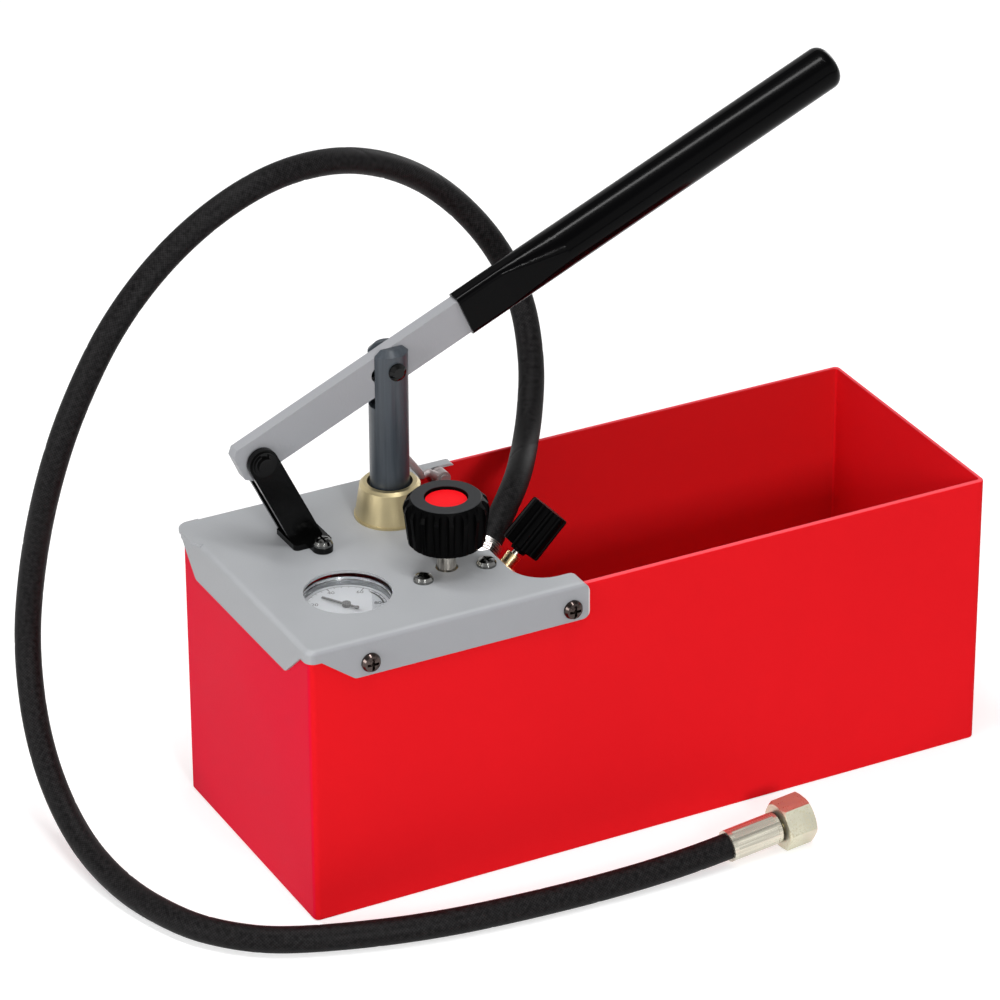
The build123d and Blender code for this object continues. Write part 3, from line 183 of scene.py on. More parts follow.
def streak_effect():
    """Long fine streaks along the Z axis of the vector that it is given, as drawn or buffed metal has."""
    tree, start, end = effect(
        "drawn_streaks",
        [("Vector", "NodeSocketVector", None), ("Across", "NodeSocketFloat", 700.0),
         ("Along", "NodeSocketFloat", 0.03)],
        [("Streak", "NodeSocketFloat")])
    stretch = node(tree, "ShaderNodeCombineXYZ")
    stretch.inputs["X"].default_value = 1.0
    stretch.inputs["Y"].default_value = 1.0
    drawn = node(tree, "ShaderNodeVectorMath", operation="MULTIPLY")
    noise = node(tree, "ShaderNodeTexNoise")
    noise.inputs["Detail"].default_value = 3.0
    tree.links.new(start.outputs["Along"], stretch.inputs["Z"])
    tree.links.new(start.outputs["Vector"], drawn.inputs[0])
    tree.links.new(stretch.outputs[0], drawn.inputs[1])
    tree.links.new(drawn.outputs[0], noise.inputs["Vector"])
    tree.links.new(start.outputs["Across"], noise.inputs["Scale"])
    tree.links.new(noise.outputs["Fac"], end.inputs["Streak"])
    return tree


def band_effect():
    """A band with a soft edge: 1 where the value is within the half width of the place, then down to 0."""
    tree, start, end = effect(
        "narrow_band",
        [("Value", "NodeSocketFloat", 0.0), ("Place", "NodeSocketFloat", 0.0),
         ("Half Width", "NodeSocketFloat", 0.001), ("Edge", "NodeSocketFloat", 0.0003)],
        [("Mask", "NodeSocketFloat")])
    off = node(tree, "ShaderNodeMath", operation="SUBTRACT")
    size = node(tree, "ShaderNodeMath", operation="ABSOLUTE")
    past = node(tree, "ShaderNodeMath", operation="ADD")
    fade = node(tree, "ShaderNodeMapRange", interpolation_type="SMOOTHSTEP")
    fade.inputs["To Min"].default_value = 1.0
    fade.inputs["To Max"].default_value = 0.0
    tree.links.new(start.outputs["Value"], off.inputs[0])
    tree.links.new(start.outputs["Place"], off.inputs[1])
    tree.links.new(off.outputs[0], size.inputs[0])
    tree.links.new(size.outputs[0], fade.inputs["Value"])
    tree.links.new(start.outputs["Half Width"], fade.inputs["From Min"])
    tree.links.new(start.outputs["Half Width"], past.inputs[0])
    tree.links.new(start.outputs["Edge"], past.inputs[1])
    tree.links.new(past.outputs[0], fade.inputs["From Max"])
    tree.links.new(fade.outputs[0], end.inputs["Mask"])
    return tree


def fleck_effect():
    """Small scattered flecks, such as the spangle in plating."""
    tree, start, end = effect(
        "fine_flecks",
        [("Vector", "NodeSocketVector", None), ("Size", "NodeSocketFloat", 1400.0),
         ("Rare", "NodeSocketFloat", 0.62)],
        [("Mask", "NodeSocketFloat")])
    noise = node(tree, "ShaderNodeTexNoise")
    noise.inputs["Detail"].default_value = 1.0
    full = node(tree, "ShaderNodeMath", operation="ADD")
    full.inputs[1].default_value = fleck_softness
    cut = node(tree, "ShaderNodeMapRange")
    tree.links.new(start.outputs["Vector"], noise.inputs["Vector"])
    tree.links.new(start.outputs["Size"], noise.inputs["Scale"])
    tree.links.new(noise.outputs["Fac"], cut.inputs["Value"])
    tree.links.new(start.outputs["Rare"], cut.inputs["From Min"])
    tree.links.new(start.outputs["Rare"], full.inputs[0])
    tree.links.new(full.outputs[0], cut.inputs["From Max"])
    tree.links.new(cut.outputs[0], end.inputs["Mask"])
    return tree


def weave_effect():
    """Plain weave of thin strips, from a place counted in threads: a height and the thread's shade."""
    tree, start, end = effect(
        "cloth_weave",
        [("Threads", "NodeSocketVector", None)],
        [("Height", "NodeSocketFloat"), ("Shade", "NodeSocketFloat")])
    split = node(tree, "ShaderNodeSeparateXYZ")
    tree.links.new(start.outputs["Threads"], split.inputs[0])
    waves = []
    for part in ("X", "Y"):
        turn = node(tree, "ShaderNodeMath", operation="MULTIPLY")
        turn.inputs[1].default_value = math.pi
        wave = node(tree, "ShaderNodeMath", operation="SINE")
        tree.links.new(split.outputs[part], turn.inputs[0])
        tree.links.new(turn.outputs[0], wave.inputs[0])
        waves.append(wave.outputs[0])
    cross = node(tree, "ShaderNodeMath", operation="MULTIPLY")
    over = node(tree, "ShaderNodeMapRange")
    over.inputs["From Min"].default_value = -1.0
    noise = node(tree, "ShaderNodeTexNoise")
    noise.inputs["Scale"].default_value = 0.35
    noise.inputs["Detail"].default_value = 4.0
    tree.links.new(waves[0], cross.inputs[0])
    tree.links.new(waves[1], cross.inputs[1])
    tree.links.new(cross.outputs[0], over.inputs["Value"])
    tree.links.new(start.outputs["Threads"], noise.inputs["Vector"])
    tree.links.new(over.outputs[0], end.inputs["Height"])
    tree.links.new(noise.outputs["Fac"], end.inputs["Shade"])
    return tree


# How soft the edge of a fleck is, how far gloss strays from its mean, and how deep tool rings are
fleck_softness = 0.08
coat_gloss_change = 0.12
metal_gloss_change = 0.2
tool_ring_depth = 0.02 * MM
fine_grain = grain_effect()
tool_rings = turned_effect()
drawn_streaks = streak_effect()
narrow_band = band_effect()
fine_flecks = fleck_effect()
cloth_weave = weave_effect()


def new_material(name):
    """A new material with its shader: the material, its tree and the shader."""
    material = bpy.data.materials.new(name)
    material.use_nodes = True
    tree = material.node_tree
    tree.nodes.clear()
    shader = node(tree, "ShaderNodeBsdfPrincipled")
    output = node(tree, "ShaderNodeOutputMaterial")
    tree.links.new(shader.outputs[0], output.inputs["Surface"])
    return material, tree, shader


def coordinates(tree, centre=(0, 0, 0), turn=(0, 0, 0), kind="Object"):
    """Texture place on the piece, moved and turned so that a pattern can centre on it."""
    source = node(tree, "ShaderNodeTexCoord")
    mapping = node(tree, "ShaderNodeMapping", vector_type="TEXTURE")
    mapping.inputs["Location"].default_value = centre
    mapping.inputs["Rotation"].default_value = turn
    tree.links.new(source.outputs[kind], mapping.inputs["Vector"])
    return mapping.outputs[0]


def shade(tree, factor, low, high, curve=(0.35, 0.65)):
    """Colour that runs from low to high where the factor crosses the curve."""
    ramp = node(tree, "ShaderNodeValToRGB")
    for stop, place, colour in zip(ramp.color_ramp.elements, curve, (low, high)):
        stop.position = place
        stop.color = (*colour, 1.0)
    tree.links.new(factor, ramp.inputs["Fac"])
    return ramp.outputs["Color"]


def spread(tree, factor, low, high):
    """Number that runs from low to high with the factor."""
    span = node(tree, "ShaderNodeMapRange")
    span.inputs["From Min"].default_value = 0.3
    span.inputs["From Max"].default_value = 0.7
    span.inputs["To Min"].default_value = low
    span.inputs["To Max"].default_value = high
    tree.links.new(factor, span.inputs["Value"])
    return span.outputs["Result"]


def bump(tree, shader, height, distance):
    """Relief as deep as the distance, from a height of 0 to 1."""
    made = node(tree, "ShaderNodeBump")
    made.inputs["Strength"].default_value = 1.0
    made.inputs["Distance"].default_value = distance
    tree.links.new(height, made.inputs["Height"])
    tree.links.new(made.outputs[0], shader.inputs["Normal"])


def tint(colour, factor):
    """The colour, darker or lighter."""
    return tuple(min(1.0, channel * factor) for channel in colour)


def blend(tree, mask, under, over):
    """Colour that is the one under where the mask is 0 and the one over where it is 1."""
    mix = node(tree, "ShaderNodeMix", data_type="RGBA")
    tree.links.new(mask, mix.inputs["Factor"])
    for socket, colour in ((mix.inputs[6], under), (mix.inputs[7], over)):
        if isinstance(colour, tuple):
            socket.default_value = (*colour, 1.0)
        else:
            tree.links.new(colour, socket)
    return mix.outputs[2]


def banded(tree, vector, part, place, half_width, edge):
    """Mask of a band across one axis of the vector."""
    split = node(tree, "ShaderNodeSeparateXYZ")
    band = node(tree, "ShaderNodeGroup", node_tree=narrow_band)
    band.inputs["Place"].default_value = place
    band.inputs["Half Width"].default_value = half_width
    band.inputs["Edge"].default_value = edge
    tree.links.new(vector, split.inputs[0])
    tree.links.new(split.outputs[part], band.inputs["Value"])
    return band.outputs["Mask"]


def flecked(tree, vector, size, rare):
    """Mask of small scattered flecks."""
    flecks = node(tree, "ShaderNodeGroup", node_tree=fine_flecks)
    flecks.inputs["Size"].default_value = size
    flecks.inputs["Rare"].default_value = rare
    tree.links.new(vector, flecks.inputs["Vector"])
    return flecks.outputs["Mask"]


def toned(tree, place, tone, specks, bands):
    """A tone with its specks, which are a size, a threshold and a colour, and with its bands, each an
    axis, a place on it, a half width, the width of its soft edge and a colour."""
    if specks:
        size, rare, colour = specks
        tone = blend(tree, flecked(tree, place, size, rare), tone, colour)
    for axis, where, half_width, edge, colour in bands:
        tone = blend(tree, banded(tree, place, axis, where, half_width, edge), tone, colour)
    return tone


def coated(name, colour, rough, fine=700.0, peel=0.06 * MM, cloud=9.0, vary=0.06, specular=0.5,
           metallic=0.0, bands=()):
    """Paint, powder coat or moulded plastic: fine peel, soft change of tone and of gloss."""
    material, tree, shader = new_material(name)
    grain = node(tree, "ShaderNodeGroup", node_tree=fine_grain)
    grain.inputs["Fine"].default_value = fine
    grain.inputs["Cloud"].default_value = cloud
    place = coordinates(tree)
    tree.links.new(place, grain.inputs["Vector"])
    tone = shade(tree, grain.outputs["Cloud"], tint(colour, 1 - vary), tint(colour, 1 + vary))
    tree.links.new(toned(tree, place, tone, None, bands), shader.inputs["Base Color"])
    tree.links.new(spread(tree, grain.outputs["Cloud"], rough * (1 - coat_gloss_change),
                          rough * (1 + coat_gloss_change)), shader.inputs["Roughness"])
    shader.inputs["Specular IOR Level"].default_value = specular
    shader.inputs["Metallic"].default_value = metallic
    bump(tree, shader, grain.outputs["Height"], peel)
    return material


def turned(name, colour, rough, centre, axis=(0, 0, 1), vary=0.10, metallic=1.0, bands=(), specks=None):
    """Turned or plated metal, with its tool rings round the piece's own axis. Bands lie along that axis."""
    material, tree, shader = new_material(name)
    rings = node(tree, "ShaderNodeGroup", node_tree=tool_rings)
    turn = Vector(axis).to_track_quat("Z", "Y").to_euler()
    place = coordinates(tree, centre, turn)
    tree.links.new(place, rings.inputs["Vector"])
    tone = shade(tree, rings.outputs["Streak"], tint(colour, 1 - vary), tint(colour, 1 + vary))
    tree.links.new(toned(tree, place, tone, specks, bands), shader.inputs["Base Color"])
    tree.links.new(spread(tree, rings.outputs["Height"], rough * (1 - metal_gloss_change),
                          rough * (1 + metal_gloss_change)), shader.inputs["Roughness"])
    shader.inputs["Metallic"].default_value = metallic
    bump(tree, shader, rings.outputs["Height"], tool_ring_depth)
    return material


def drawn(name, colour, rough, centre, axis=(0, 0, 1), vary=0.2, metallic=1.0, depth=0.01 * MM, bands=()):
    """Ground or drawn bar, with streaks along its own axis. Bands lie along that axis."""
    material, tree, shader = new_material(name)
    lines = node(tree, "ShaderNodeGroup", node_tree=drawn_streaks)
    turn = Vector(axis).to_track_quat("Z", "Y").to_euler()
    place = coordinates(tree, centre, turn)
    tree.links.new(place, lines.inputs["Vector"])
    tone = shade(tree, lines.outputs["Streak"], tint(colour, 1 - vary), tint(colour, 1 + vary))
    tree.links.new(toned(tree, place, tone, None, bands), shader.inputs["Base Color"])
    tree.links.new(spread(tree, lines.outputs["Streak"], rough * (1 - metal_gloss_change),
                          rough * (1 + metal_gloss_change)), shader.inputs["Roughness"])
    shader.inputs["Metallic"].default_value = metallic
    bump(tree, shader, lines.outputs["Streak"], depth)
    return material


def clear_glass():
    """The gauge's window."""
    material, tree, shader = new_material("gauge_window")
    shader.inputs["Base Color"].default_value = (1, 1, 1, 1)
    shader.inputs["Roughness"].default_value = 0.02
    shader.inputs["IOR"].default_value = 1.45
    shader.inputs["Transmission Weight"].default_value = 1.0
    return material


def hose_cover():
    """Cloth-wrapped rubber, with the threads that the hose's own map counts."""
    material, tree, shader = new_material("hose_wrap")
    threads = coordinates(tree, kind="UV")
    weave = node(tree, "ShaderNodeGroup", node_tree=cloth_weave)
    tree.links.new(threads, weave.inputs["Threads"])
    tone = shade(tree, weave.outputs["Shade"], (0.004, 0.0038, 0.004), (0.017, 0.016, 0.0165))
    thread = shade(tree, weave.outputs["Height"], (0.35, 0.35, 0.35), (1.0, 1.0, 1.0), (0.1, 0.6))
    mix = node(tree, "ShaderNodeMix", data_type="RGBA", blend_type="MULTIPLY")
    mix.inputs["Factor"].default_value = 1.0
    tree.links.new(tone, mix.inputs[6])
    tree.links.new(thread, mix.inputs[7])
    tree.links.new(mix.outputs[2], shader.inputs["Base Color"])
    tree.links.new(spread(tree, weave.outputs["Shade"], 0.40, 0.60), shader.inputs["Roughness"])
    shader.inputs["Specular IOR Level"].default_value = 0.08
    bump(tree, shader, weave.outputs["Height"], thread_relief)
    return material


# Where turned and drawn finishes have their axis
pump_axis = (pump_x, plunger_y, 0)
spindle_axis = (pump_x, spindle_y, 0)
gauge_axis = (gauge_x, gauge_y, 0)
release_place, release_dir = joint_place("release_turn")
nut_place, nut_dir = joint_place("hose_nut_turn")
pump_ferrule_length = 10 * MM
hose_start = Vector(hose_points[0]) * MM
hose_way_out = (Vector(hose_points[1]) - Vector(hose_points[0])).normalized()
pump_ferrule_start = hose_start - hose_way_out * pump_ferrule_length

# Painted light on the tank, as bands of another tone: a painted pink sheen on its left side, painted shade on the
# inner side of its rear wall, and a painted highlight along its rim
tank_sheet = 2.0 * MM
side_band = (0.4 * MM, 0.4 * MM)
rim_highlight_band = (0.3 * MM, 0.5 * MM)
tank_painted_light_bands = (("X", tank_low.x, *side_band, (0.79, 0.006, 0.034)),
              ("Y", tank_high.y - tank_sheet, *side_band, (0.63, 0.0105, 0.0135)),
              ("Z", tank_high.z, *rim_highlight_band, (0.86, 0.09, 0.11)))

# Painted light on the cover, as bands: painted shade on its front lip, and a painted highlight along the edge at
# its right end
lip_shade_band = (0.6 * MM, 0.5 * MM)
edge_highlight_band = (0.4 * MM, 0.6 * MM)
cover_painted_light_bands = (("Y", cover_low.y, *lip_shade_band, (0.325, 0.332, 0.35)),
               ("X", cover_high.x, *edge_highlight_band, (0.62, 0.58, 0.58)))

# Bands: painted overhead light on the shut-off knob's flat top ring, painted shade in the pump ferrule's grooves,
# and a dark line at the end ferrule's mouth
knob_top_light_band = (0.2 * MM, 0.3 * MM)
knob_painted_light_bands = (("Z", knob_high.z, *knob_top_light_band, (0.040, 0.041, 0.043)),)
# Painted shade in the pump ferrule's crimp grooves
crimp_shade_band = (0.1 * MM, 0.3 * MM)
crimp_shade_bands = (("Z", 3.4 * MM, *crimp_shade_band, (0.16, 0.12, 0.11)),
               ("Z", 5.0 * MM, *crimp_shade_band, (0.22, 0.17, 0.15)),
               ("Z", 6.6 * MM, *crimp_shade_band, (0.22, 0.17, 0.15)))
mouth_band = (0.3 * MM, 0.3 * MM)
mouth_line_inset = 0.8 * MM
mouth_line = (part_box("end_ferrule")[1].x - mouth_line_inset - nut_place.x) / nut_dir.x
mouth_bands = (("Z", mouth_line, *mouth_band, (0.03, 0.025, 0.02)),)

# Tank, cover, lever and bracket
finishes = {
    "tank_paint": coated("red_powder_coat", (0.77, 0.0095, 0.015), 0.42, vary=0.02, specular=0.02,
                         bands=tank_painted_light_bands),
    "cover_paint": coated("grey_powder_coat", (0.375, 0.385, 0.40), 0.42, vary=0.035, cloud=14.0,
                          specular=0.3, bands=cover_painted_light_bands),
    "lever_paint": coated("grey_lever_coat", (0.325, 0.33, 0.348), 0.42, vary=0.035, specular=0.3),
    "grip_plastic": coated("grip_gloss_black", (0.0012, 0.0012, 0.0014), 0.13, vary=0.2,
                           peel=0.006 * MM, specular=0.06),
    "black_paint": coated("black_bracket_coat", (0.002, 0.002, 0.002), 0.22, vary=0.2, specular=0.14,
                          peel=0.03 * MM),
    "block_metal": coated("block_casting", (0.30, 0.30, 0.31), 0.5, vary=0.12),
}

# Screws, pins, hook and springs
finishes.update({
    "dark_steel": coated("screw_blacking", (0.085, 0.066, 0.060), 0.16, fine=1500.0, vary=0.3,
                         peel=0.01 * MM, metallic=1.0),
    "screw_black_zinc": coated("screw_black_zinc", (0.15, 0.15, 0.145), 0.14, fine=1500.0, vary=0.3,
                               peel=0.01 * MM, metallic=1.0),
    "zinc_steel": coated("dull_zinc", (0.40, 0.355, 0.355), 0.5, fine=1100.0, cloud=60.0, vary=0.14,
                         peel=0.03 * MM, metallic=0.7),
    "black_steel": coated("black_oxide", (0.003, 0.003, 0.003), 0.12, vary=0.2, peel=0.01 * MM,
                          specular=0.22),
    "spring_steel": turned("spring_wire", (0.5, 0.5, 0.5), 0.3, (0, 0, 0)),
})

# Plunger, its gland and its seals
finishes.update({
    "rod_steel": drawn("slate_hard_coat", (0.044, 0.053, 0.064), 0.34, pump_axis, vary=0.14, metallic=0.1),
    "champagne_metal": turned("champagne_anodising", (0.62, 0.52, 0.30), 0.36, pump_axis, vary=0.04,
                              metallic=0.92),
    "brass": turned("turned_brass", (0.70, 0.52, 0.24), 0.3, pump_axis),
    "bush_bronze": turned("bush_bronze", (0.5, 0.35, 0.16), 0.45, pump_axis),
    "black_rubber": coated("rubber_black", (0.006, 0.006, 0.006), 0.6, specular=0.2),
    "seal_fabric": coated("greased_packing", (0.20, 0.17, 0.12), 0.7),
})

# Valve knobs and stems
finishes.update({
    "knob_plastic": coated("knob_black", (0.0012, 0.0012, 0.0013), 0.34, vary=0.15, specular=0.03,
                           peel=0.03 * MM, bands=knob_painted_light_bands),
    "cap_red": coated("cap_red", (0.87, 0.008, 0.014), 0.4, vary=0.02, specular=0.08),
    "steel_bright": drawn("bright_spindle_steel", (0.66, 0.62, 0.56), 0.24, spindle_axis, vary=0.3),
    "gold_metal": turned("gland_gold", (0.72, 0.56, 0.32), 0.25, release_place, release_dir),
})

# Gauge
finishes.update({
    "chrome_ring": turned("bezel_chrome", (0.62, 0.63, 0.64), 0.10, gauge_axis),
    "case_steel": turned("gauge_case_steel", (0.34, 0.35, 0.36), 0.22, gauge_axis),
    "clear_glass": clear_glass(),
    "dial_white": coated("dial_white", (0.66, 0.68, 0.71), 0.5, vary=0.01, specular=0.2),
    "needle_black": coated("needle_black", (0.06, 0.06, 0.06), 0.4),
})

# Hose, its two ferrules, tail and swivel nut
finishes.update({
    "hose_rubber": hose_cover(),
    "pump_ferrule_zinc": turned("ferrule_bright_zinc", (0.80, 0.76, 0.73), 0.30, pump_ferrule_start,
                                hose_way_out, bands=crimp_shade_bands),
    "ferrule_nickel": drawn("ferrule_nickel", (0.64, 0.61, 0.51), 0.26, nut_place, nut_dir, vary=0.16,
                            metallic=0.85, depth=0.003 * MM, bands=mouth_bands),
    "tail_zinc": turned("tail_yellow_zinc", (0.42, 0.34, 0.19), 0.22, nut_place, nut_dir),
    "zinc_gold": turned("yellow_zinc", (0.64, 0.62, 0.49), 0.34, nut_place, nut_dir, metallic=0.85,
                        specks=(900.0, 0.54, (0.62, 0.58, 0.42))),
})

# Each node takes its slot's finish, or one of its own where the real piece differs
node_finishes = {
    "end_ferrule": "ferrule_nickel",
    "hose_tail": "tail_zinc",
    "pump_ferrule": "pump_ferrule_zinc",
    "gauge_case": "case_steel",
    "bracket_screws": "screw_black_zinc",
    "block_screws": "screw_black_zinc",
}
for row in frame["record"]["subparts"]:
    mesh = frame["nodes"][row["node"]].data
    mesh.materials.clear()
    mesh.materials.append(finishes[node_finishes.get(row["node"], row["material_slot"])])


# The hose
def smooth_line(name, points):
    """Points of the smooth curve that the control points, in millimetres, pull."""
    curve = bpy.data.curves.new(name, "CURVE")
    curve.dimensions = "3D"
    spline = curve.splines.new("NURBS")
    spline.points.add(len(points) - 1)
    for point, place in zip(spline.points, points):
        point.co = (*[v * MM for v in place], 1.0)
    spline.order_u = 3
    spline.use_endpoint_u = True
    spline.resolution_u = route_fineness
    holder = bpy.data.objects.new(name, curve)
    bpy.context.scene.collection.objects.link(holder)
    line = bpy.data.meshes.new_from_object(holder.evaluated_get(bpy.context.evaluated_depsgraph_get()))
    path = [v.co.copy() for v in line.vertices]
    bpy.data.objects.remove(holder)
    bpy.data.meshes.remove(line)
    return path


def evenly(path, step):
    """The same line with points about a step apart, and its length."""
    spans = [0.0]
    for a, b in zip(path, path[1:]):
        spans.append(spans[-1] + (b - a).length)
    count = max(2, round(spans[-1] / step))
    places, i = [], 0
    for k in range(count + 1):
        want = spans[-1] * k / count
        while i < len(spans) - 2 and spans[i + 1] < want:
            i += 1
        part = (want - spans[i]) / (spans[i + 1] - spans[i])
        places.append(path[i].lerp(path[i + 1], min(1.0, part)))
    return places, spans[-1]


def frames_along(path):
    """A tangent and two cross directions at each point, turned as little as possible."""
    tangents = [(path[min(i + 1, len(path) - 1)] - path[max(i - 1, 0)]).normalized()
                for i in range(len(path))]
    side = tangents[0].orthogonal().normalized()
    made = []
    for tangent in tangents:
        side = (side - tangent * side.dot(tangent)).normalized()
        made.append((tangent, side, tangent.cross(side)))
    return made


def new_piece(name, mesh, slot_name, body):
    """A new piece of the pump with its slot's finish, riding on a body."""
    piece = bpy.data.objects.new(name, mesh)
    bpy.context.scene.collection.objects.link(piece)
    mesh.materials.append(finishes[slot_name])
    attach(piece, body)
    return piece


def hose_mesh(path):
    """Tube with a shallow spiral seam, closed ends, and a map that counts the cover's threads."""
    build = bmesh.new()
    threads = build.loops.layers.uv.new("threads")
    rings = []
    runs = []
    gone = 0.0
    last = path[0]
    for centre, (_, side, up) in zip(path, frames_along(path)):
        gone += (centre - last).length
        last = centre
        ring = []
        for k in range(hose_sides):
            angle = 2 * math.pi * k / hose_sides
            along = (gone / seam_pitch - k / hose_sides) % 1.0
            near = min(along, 1 - along) * seam_pitch
            radius = hose_radius - seam_depth * math.exp(-(near / seam_half_width) ** 2)
            ring.append(build.verts.new(centre + (side * math.cos(angle) + up * math.sin(angle)) * radius))
        rings.append(ring)
        runs.append(gone / thread_pitch)
    round_threads = 2 * round(math.pi * hose_radius / thread_pitch)
    for i, (a, b) in enumerate(zip(rings, rings[1:])):
        for k in range(hose_sides):
            n = (k + 1) % hose_sides
            face = build.faces.new((a[k], a[n], b[n], b[k]))
            for corner, across, run in zip(face.loops, (k, k + 1, k + 1, k), (i, i, i + 1, i + 1)):
                corner[threads].uv = (round_threads * across / hose_sides, runs[run])
    build.faces.new(list(reversed(rings[0])))
    build.faces.new(rings[-1])
    for face in build.faces:
        face.smooth = len(face.verts) == 4
    bmesh.ops.recalc_face_normals(build, faces=build.faces)
    mesh = bpy.data.meshes.new("hose_wrap")
    build.to_mesh(mesh)
    build.free()
    return mesh


hose_path, hose_length = evenly(smooth_line("hose_route", hose_points), hose_ring_step)
hose = new_piece("pressure_hose", hose_mesh(hose_path), "hose_rubber", "root")
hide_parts("hose")


# The gauge's scale: ticks, numbers and a thin arc along the ticks, and a dark arc over part of the range that is a
# painted shadow on the dial
dial_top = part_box("gauge_dial")[1].z
dial_centre = Vector((gauge_x, gauge_y, dial_top))
scale_start = math.radians(201.0)
scale_sweep = math.radians(270.0)
scale_numbers = ("0", "20", "40", "60", "80", "100")
scale_steps = len(scale_numbers) - 1
ticks_per_step = 5
tick_outer = 20.0 * MM
long_tick = {"Length": 2.6 * MM, "Width": 0.42 * MM}
short_tick = {"Length": 1.4 * MM, "Width": 0.22 * MM}
number_radius = 15.6 * MM
number_size = 3.6 * MM
scale_line_width = 0.2 * MM
# Painted shadow: a dark arc laid on the dial where shade falls from the window
painted_shadow_arc = {"radius": 18.4 * MM, "width": 0.9 * MM, "first": math.radians(26), "last": math.radians(-17)}
arc_step = math.radians(4)
fewest_arc_steps = 8
print_height = 0.06 * MM
same_point = 0.002 * MM


def tick_tree():
    """Ticks round an arc, from their count, first angle, sweep, outer radius, length and width."""
    tree = bpy.data.node_groups.new("dial_ticks", "GeometryNodeTree")
    for label, kind in (("Count", "NodeSocketInt"), ("First Angle", "NodeSocketFloat"),
                        ("Sweep", "NodeSocketFloat"), ("Outer Radius", "NodeSocketFloat"),
                        ("Length", "NodeSocketFloat"), ("Width", "NodeSocketFloat"),
                        ("Height", "NodeSocketFloat"), ("Centre", "NodeSocketVector"),
                        ("Ink", "NodeSocketMaterial")):
        tree.interface.new_socket(label, in_out="INPUT", socket_type=kind)
    tree.interface.new_socket("Geometry", in_out="OUTPUT", socket_type="NodeSocketGeometry")
    start = node(tree, "NodeGroupInput")
    end = node(tree, "NodeGroupOutput")
    link = tree.links.new

    def maths(operation, first, second):
        """What a Math node makes of two numbers or sockets, or of one where the second is None."""
        made = node(tree, "ShaderNodeMath", operation=operation)
        for socket, value in zip(made.inputs, (first, second)):
            if isinstance(value, (int, float)):
                socket.default_value = value
            elif value is not None:
                link(value, socket)
        return made.outputs[0]

    row = node(tree, "GeometryNodeMeshLine")
    row.inputs["Offset"].default_value = (0, 0, 0)
    link(start.outputs["Count"], row.inputs["Count"])
    index = node(tree, "GeometryNodeInputIndex")
    gaps = maths("SUBTRACT", start.outputs["Count"], 1.0)
    step = maths("DIVIDE", start.outputs["Sweep"], gaps)
    turned_by = maths("MULTIPLY", index.outputs[0], step)
    angle = maths("SUBTRACT", start.outputs["First Angle"], turned_by)
    half = maths("MULTIPLY", start.outputs["Length"], 0.5)
    middle = maths("SUBTRACT", start.outputs["Outer Radius"], half)
    flat = node(tree, "ShaderNodeCombineXYZ")
    link(maths("MULTIPLY", middle, maths("COSINE", angle, None)), flat.inputs["X"])
    link(maths("MULTIPLY", middle, maths("SINE", angle, None)), flat.inputs["Y"])
    moved = node(tree, "ShaderNodeVectorMath", operation="ADD")
    link(flat.outputs[0], moved.inputs[0])
    link(start.outputs["Centre"], moved.inputs[1])
    placed = node(tree, "GeometryNodeSetPosition")
    link(row.outputs["Mesh"], placed.inputs["Geometry"])
    link(moved.outputs[0], placed.inputs["Position"])
    size = node(tree, "ShaderNodeCombineXYZ")
    for label, axis in (("Length", "X"), ("Width", "Y"), ("Height", "Z")):
        link(start.outputs[label], size.inputs[axis])
    bar = node(tree, "GeometryNodeMeshCube")
    link(size.outputs[0], bar.inputs["Size"])
    facing = node(tree, "ShaderNodeCombineXYZ")
    link(angle, facing.inputs["Z"])
    ticks = node(tree, "GeometryNodeInstanceOnPoints")
    link(placed.outputs["Geometry"], ticks.inputs["Points"])
    link(bar.outputs["Mesh"], ticks.inputs["Instance"])
    link(facing.outputs[0], ticks.inputs["Rotation"])
    real = node(tree, "GeometryNodeRealizeInstances")
    link(ticks.outputs["Instances"], real.inputs["Geometry"])
    inked = node(tree, "GeometryNodeSetMaterial")
    link(real.outputs["Geometry"], inked.inputs["Geometry"])
    link(start.outputs["Ink"], inked.inputs["Material"])
    link(inked.outputs["Geometry"], end.inputs["Geometry"])
    return tree


def grown(name, tree, values, slot_name, body):
    """A piece grown by a node tree from named values, as a plain mesh."""
    holder = bpy.data.objects.new(name + "_seed", bpy.data.meshes.new(name + "_seed"))
    bpy.context.scene.collection.objects.link(holder)
    grow = holder.modifiers.new("grow", "NODES")
    grow.node_group = tree
    for item in tree.interface.items_tree:
        if item.in_out == "INPUT" and item.name in values:
            grow[item.identifier] = values[item.name]
    mesh = bpy.data.meshes.new_from_object(holder.evaluated_get(bpy.context.evaluated_depsgraph_get()))
    mesh.name = name
    seed = holder.data
    bpy.data.objects.remove(holder)
    bpy.data.meshes.remove(seed)
    mesh.materials.clear()
    return new_piece(name, mesh, slot_name, body)


def arc_plate(name, radius, width, first, last):
    """A thin dark arc on the dial, closed all round, used for the printed scale line and for a painted shadow."""
    build = bmesh.new()
    steps = max(fewest_arc_steps, round(abs(last - first) / arc_step))
    loops = []
    for i in range(steps + 1):
        angle = first + (last - first) * i / steps
        out = Vector((math.cos(angle), math.sin(angle), 0))
        loops.append([build.verts.new(dial_centre + out * (radius + across) + Vector((0, 0, up)))
                      for across, up in ((-width / 2, 0), (width / 2, 0), (width / 2, print_height),
                                         (-width / 2, print_height))])
    for a, b in zip(loops, loops[1:]):
        for k in range(len(a)):
            n = (k + 1) % len(a)
            build.faces.new((a[k], a[n], b[n], b[k]))
    build.faces.new(loops[0])
    build.faces.new(list(reversed(loops[-1])))
    bmesh.ops.recalc_face_normals(build, faces=build.faces)
    mesh = bpy.data.meshes.new(name)
    build.to_mesh(mesh)
    build.free()
    return new_piece(name, mesh, "needle_black", "root")


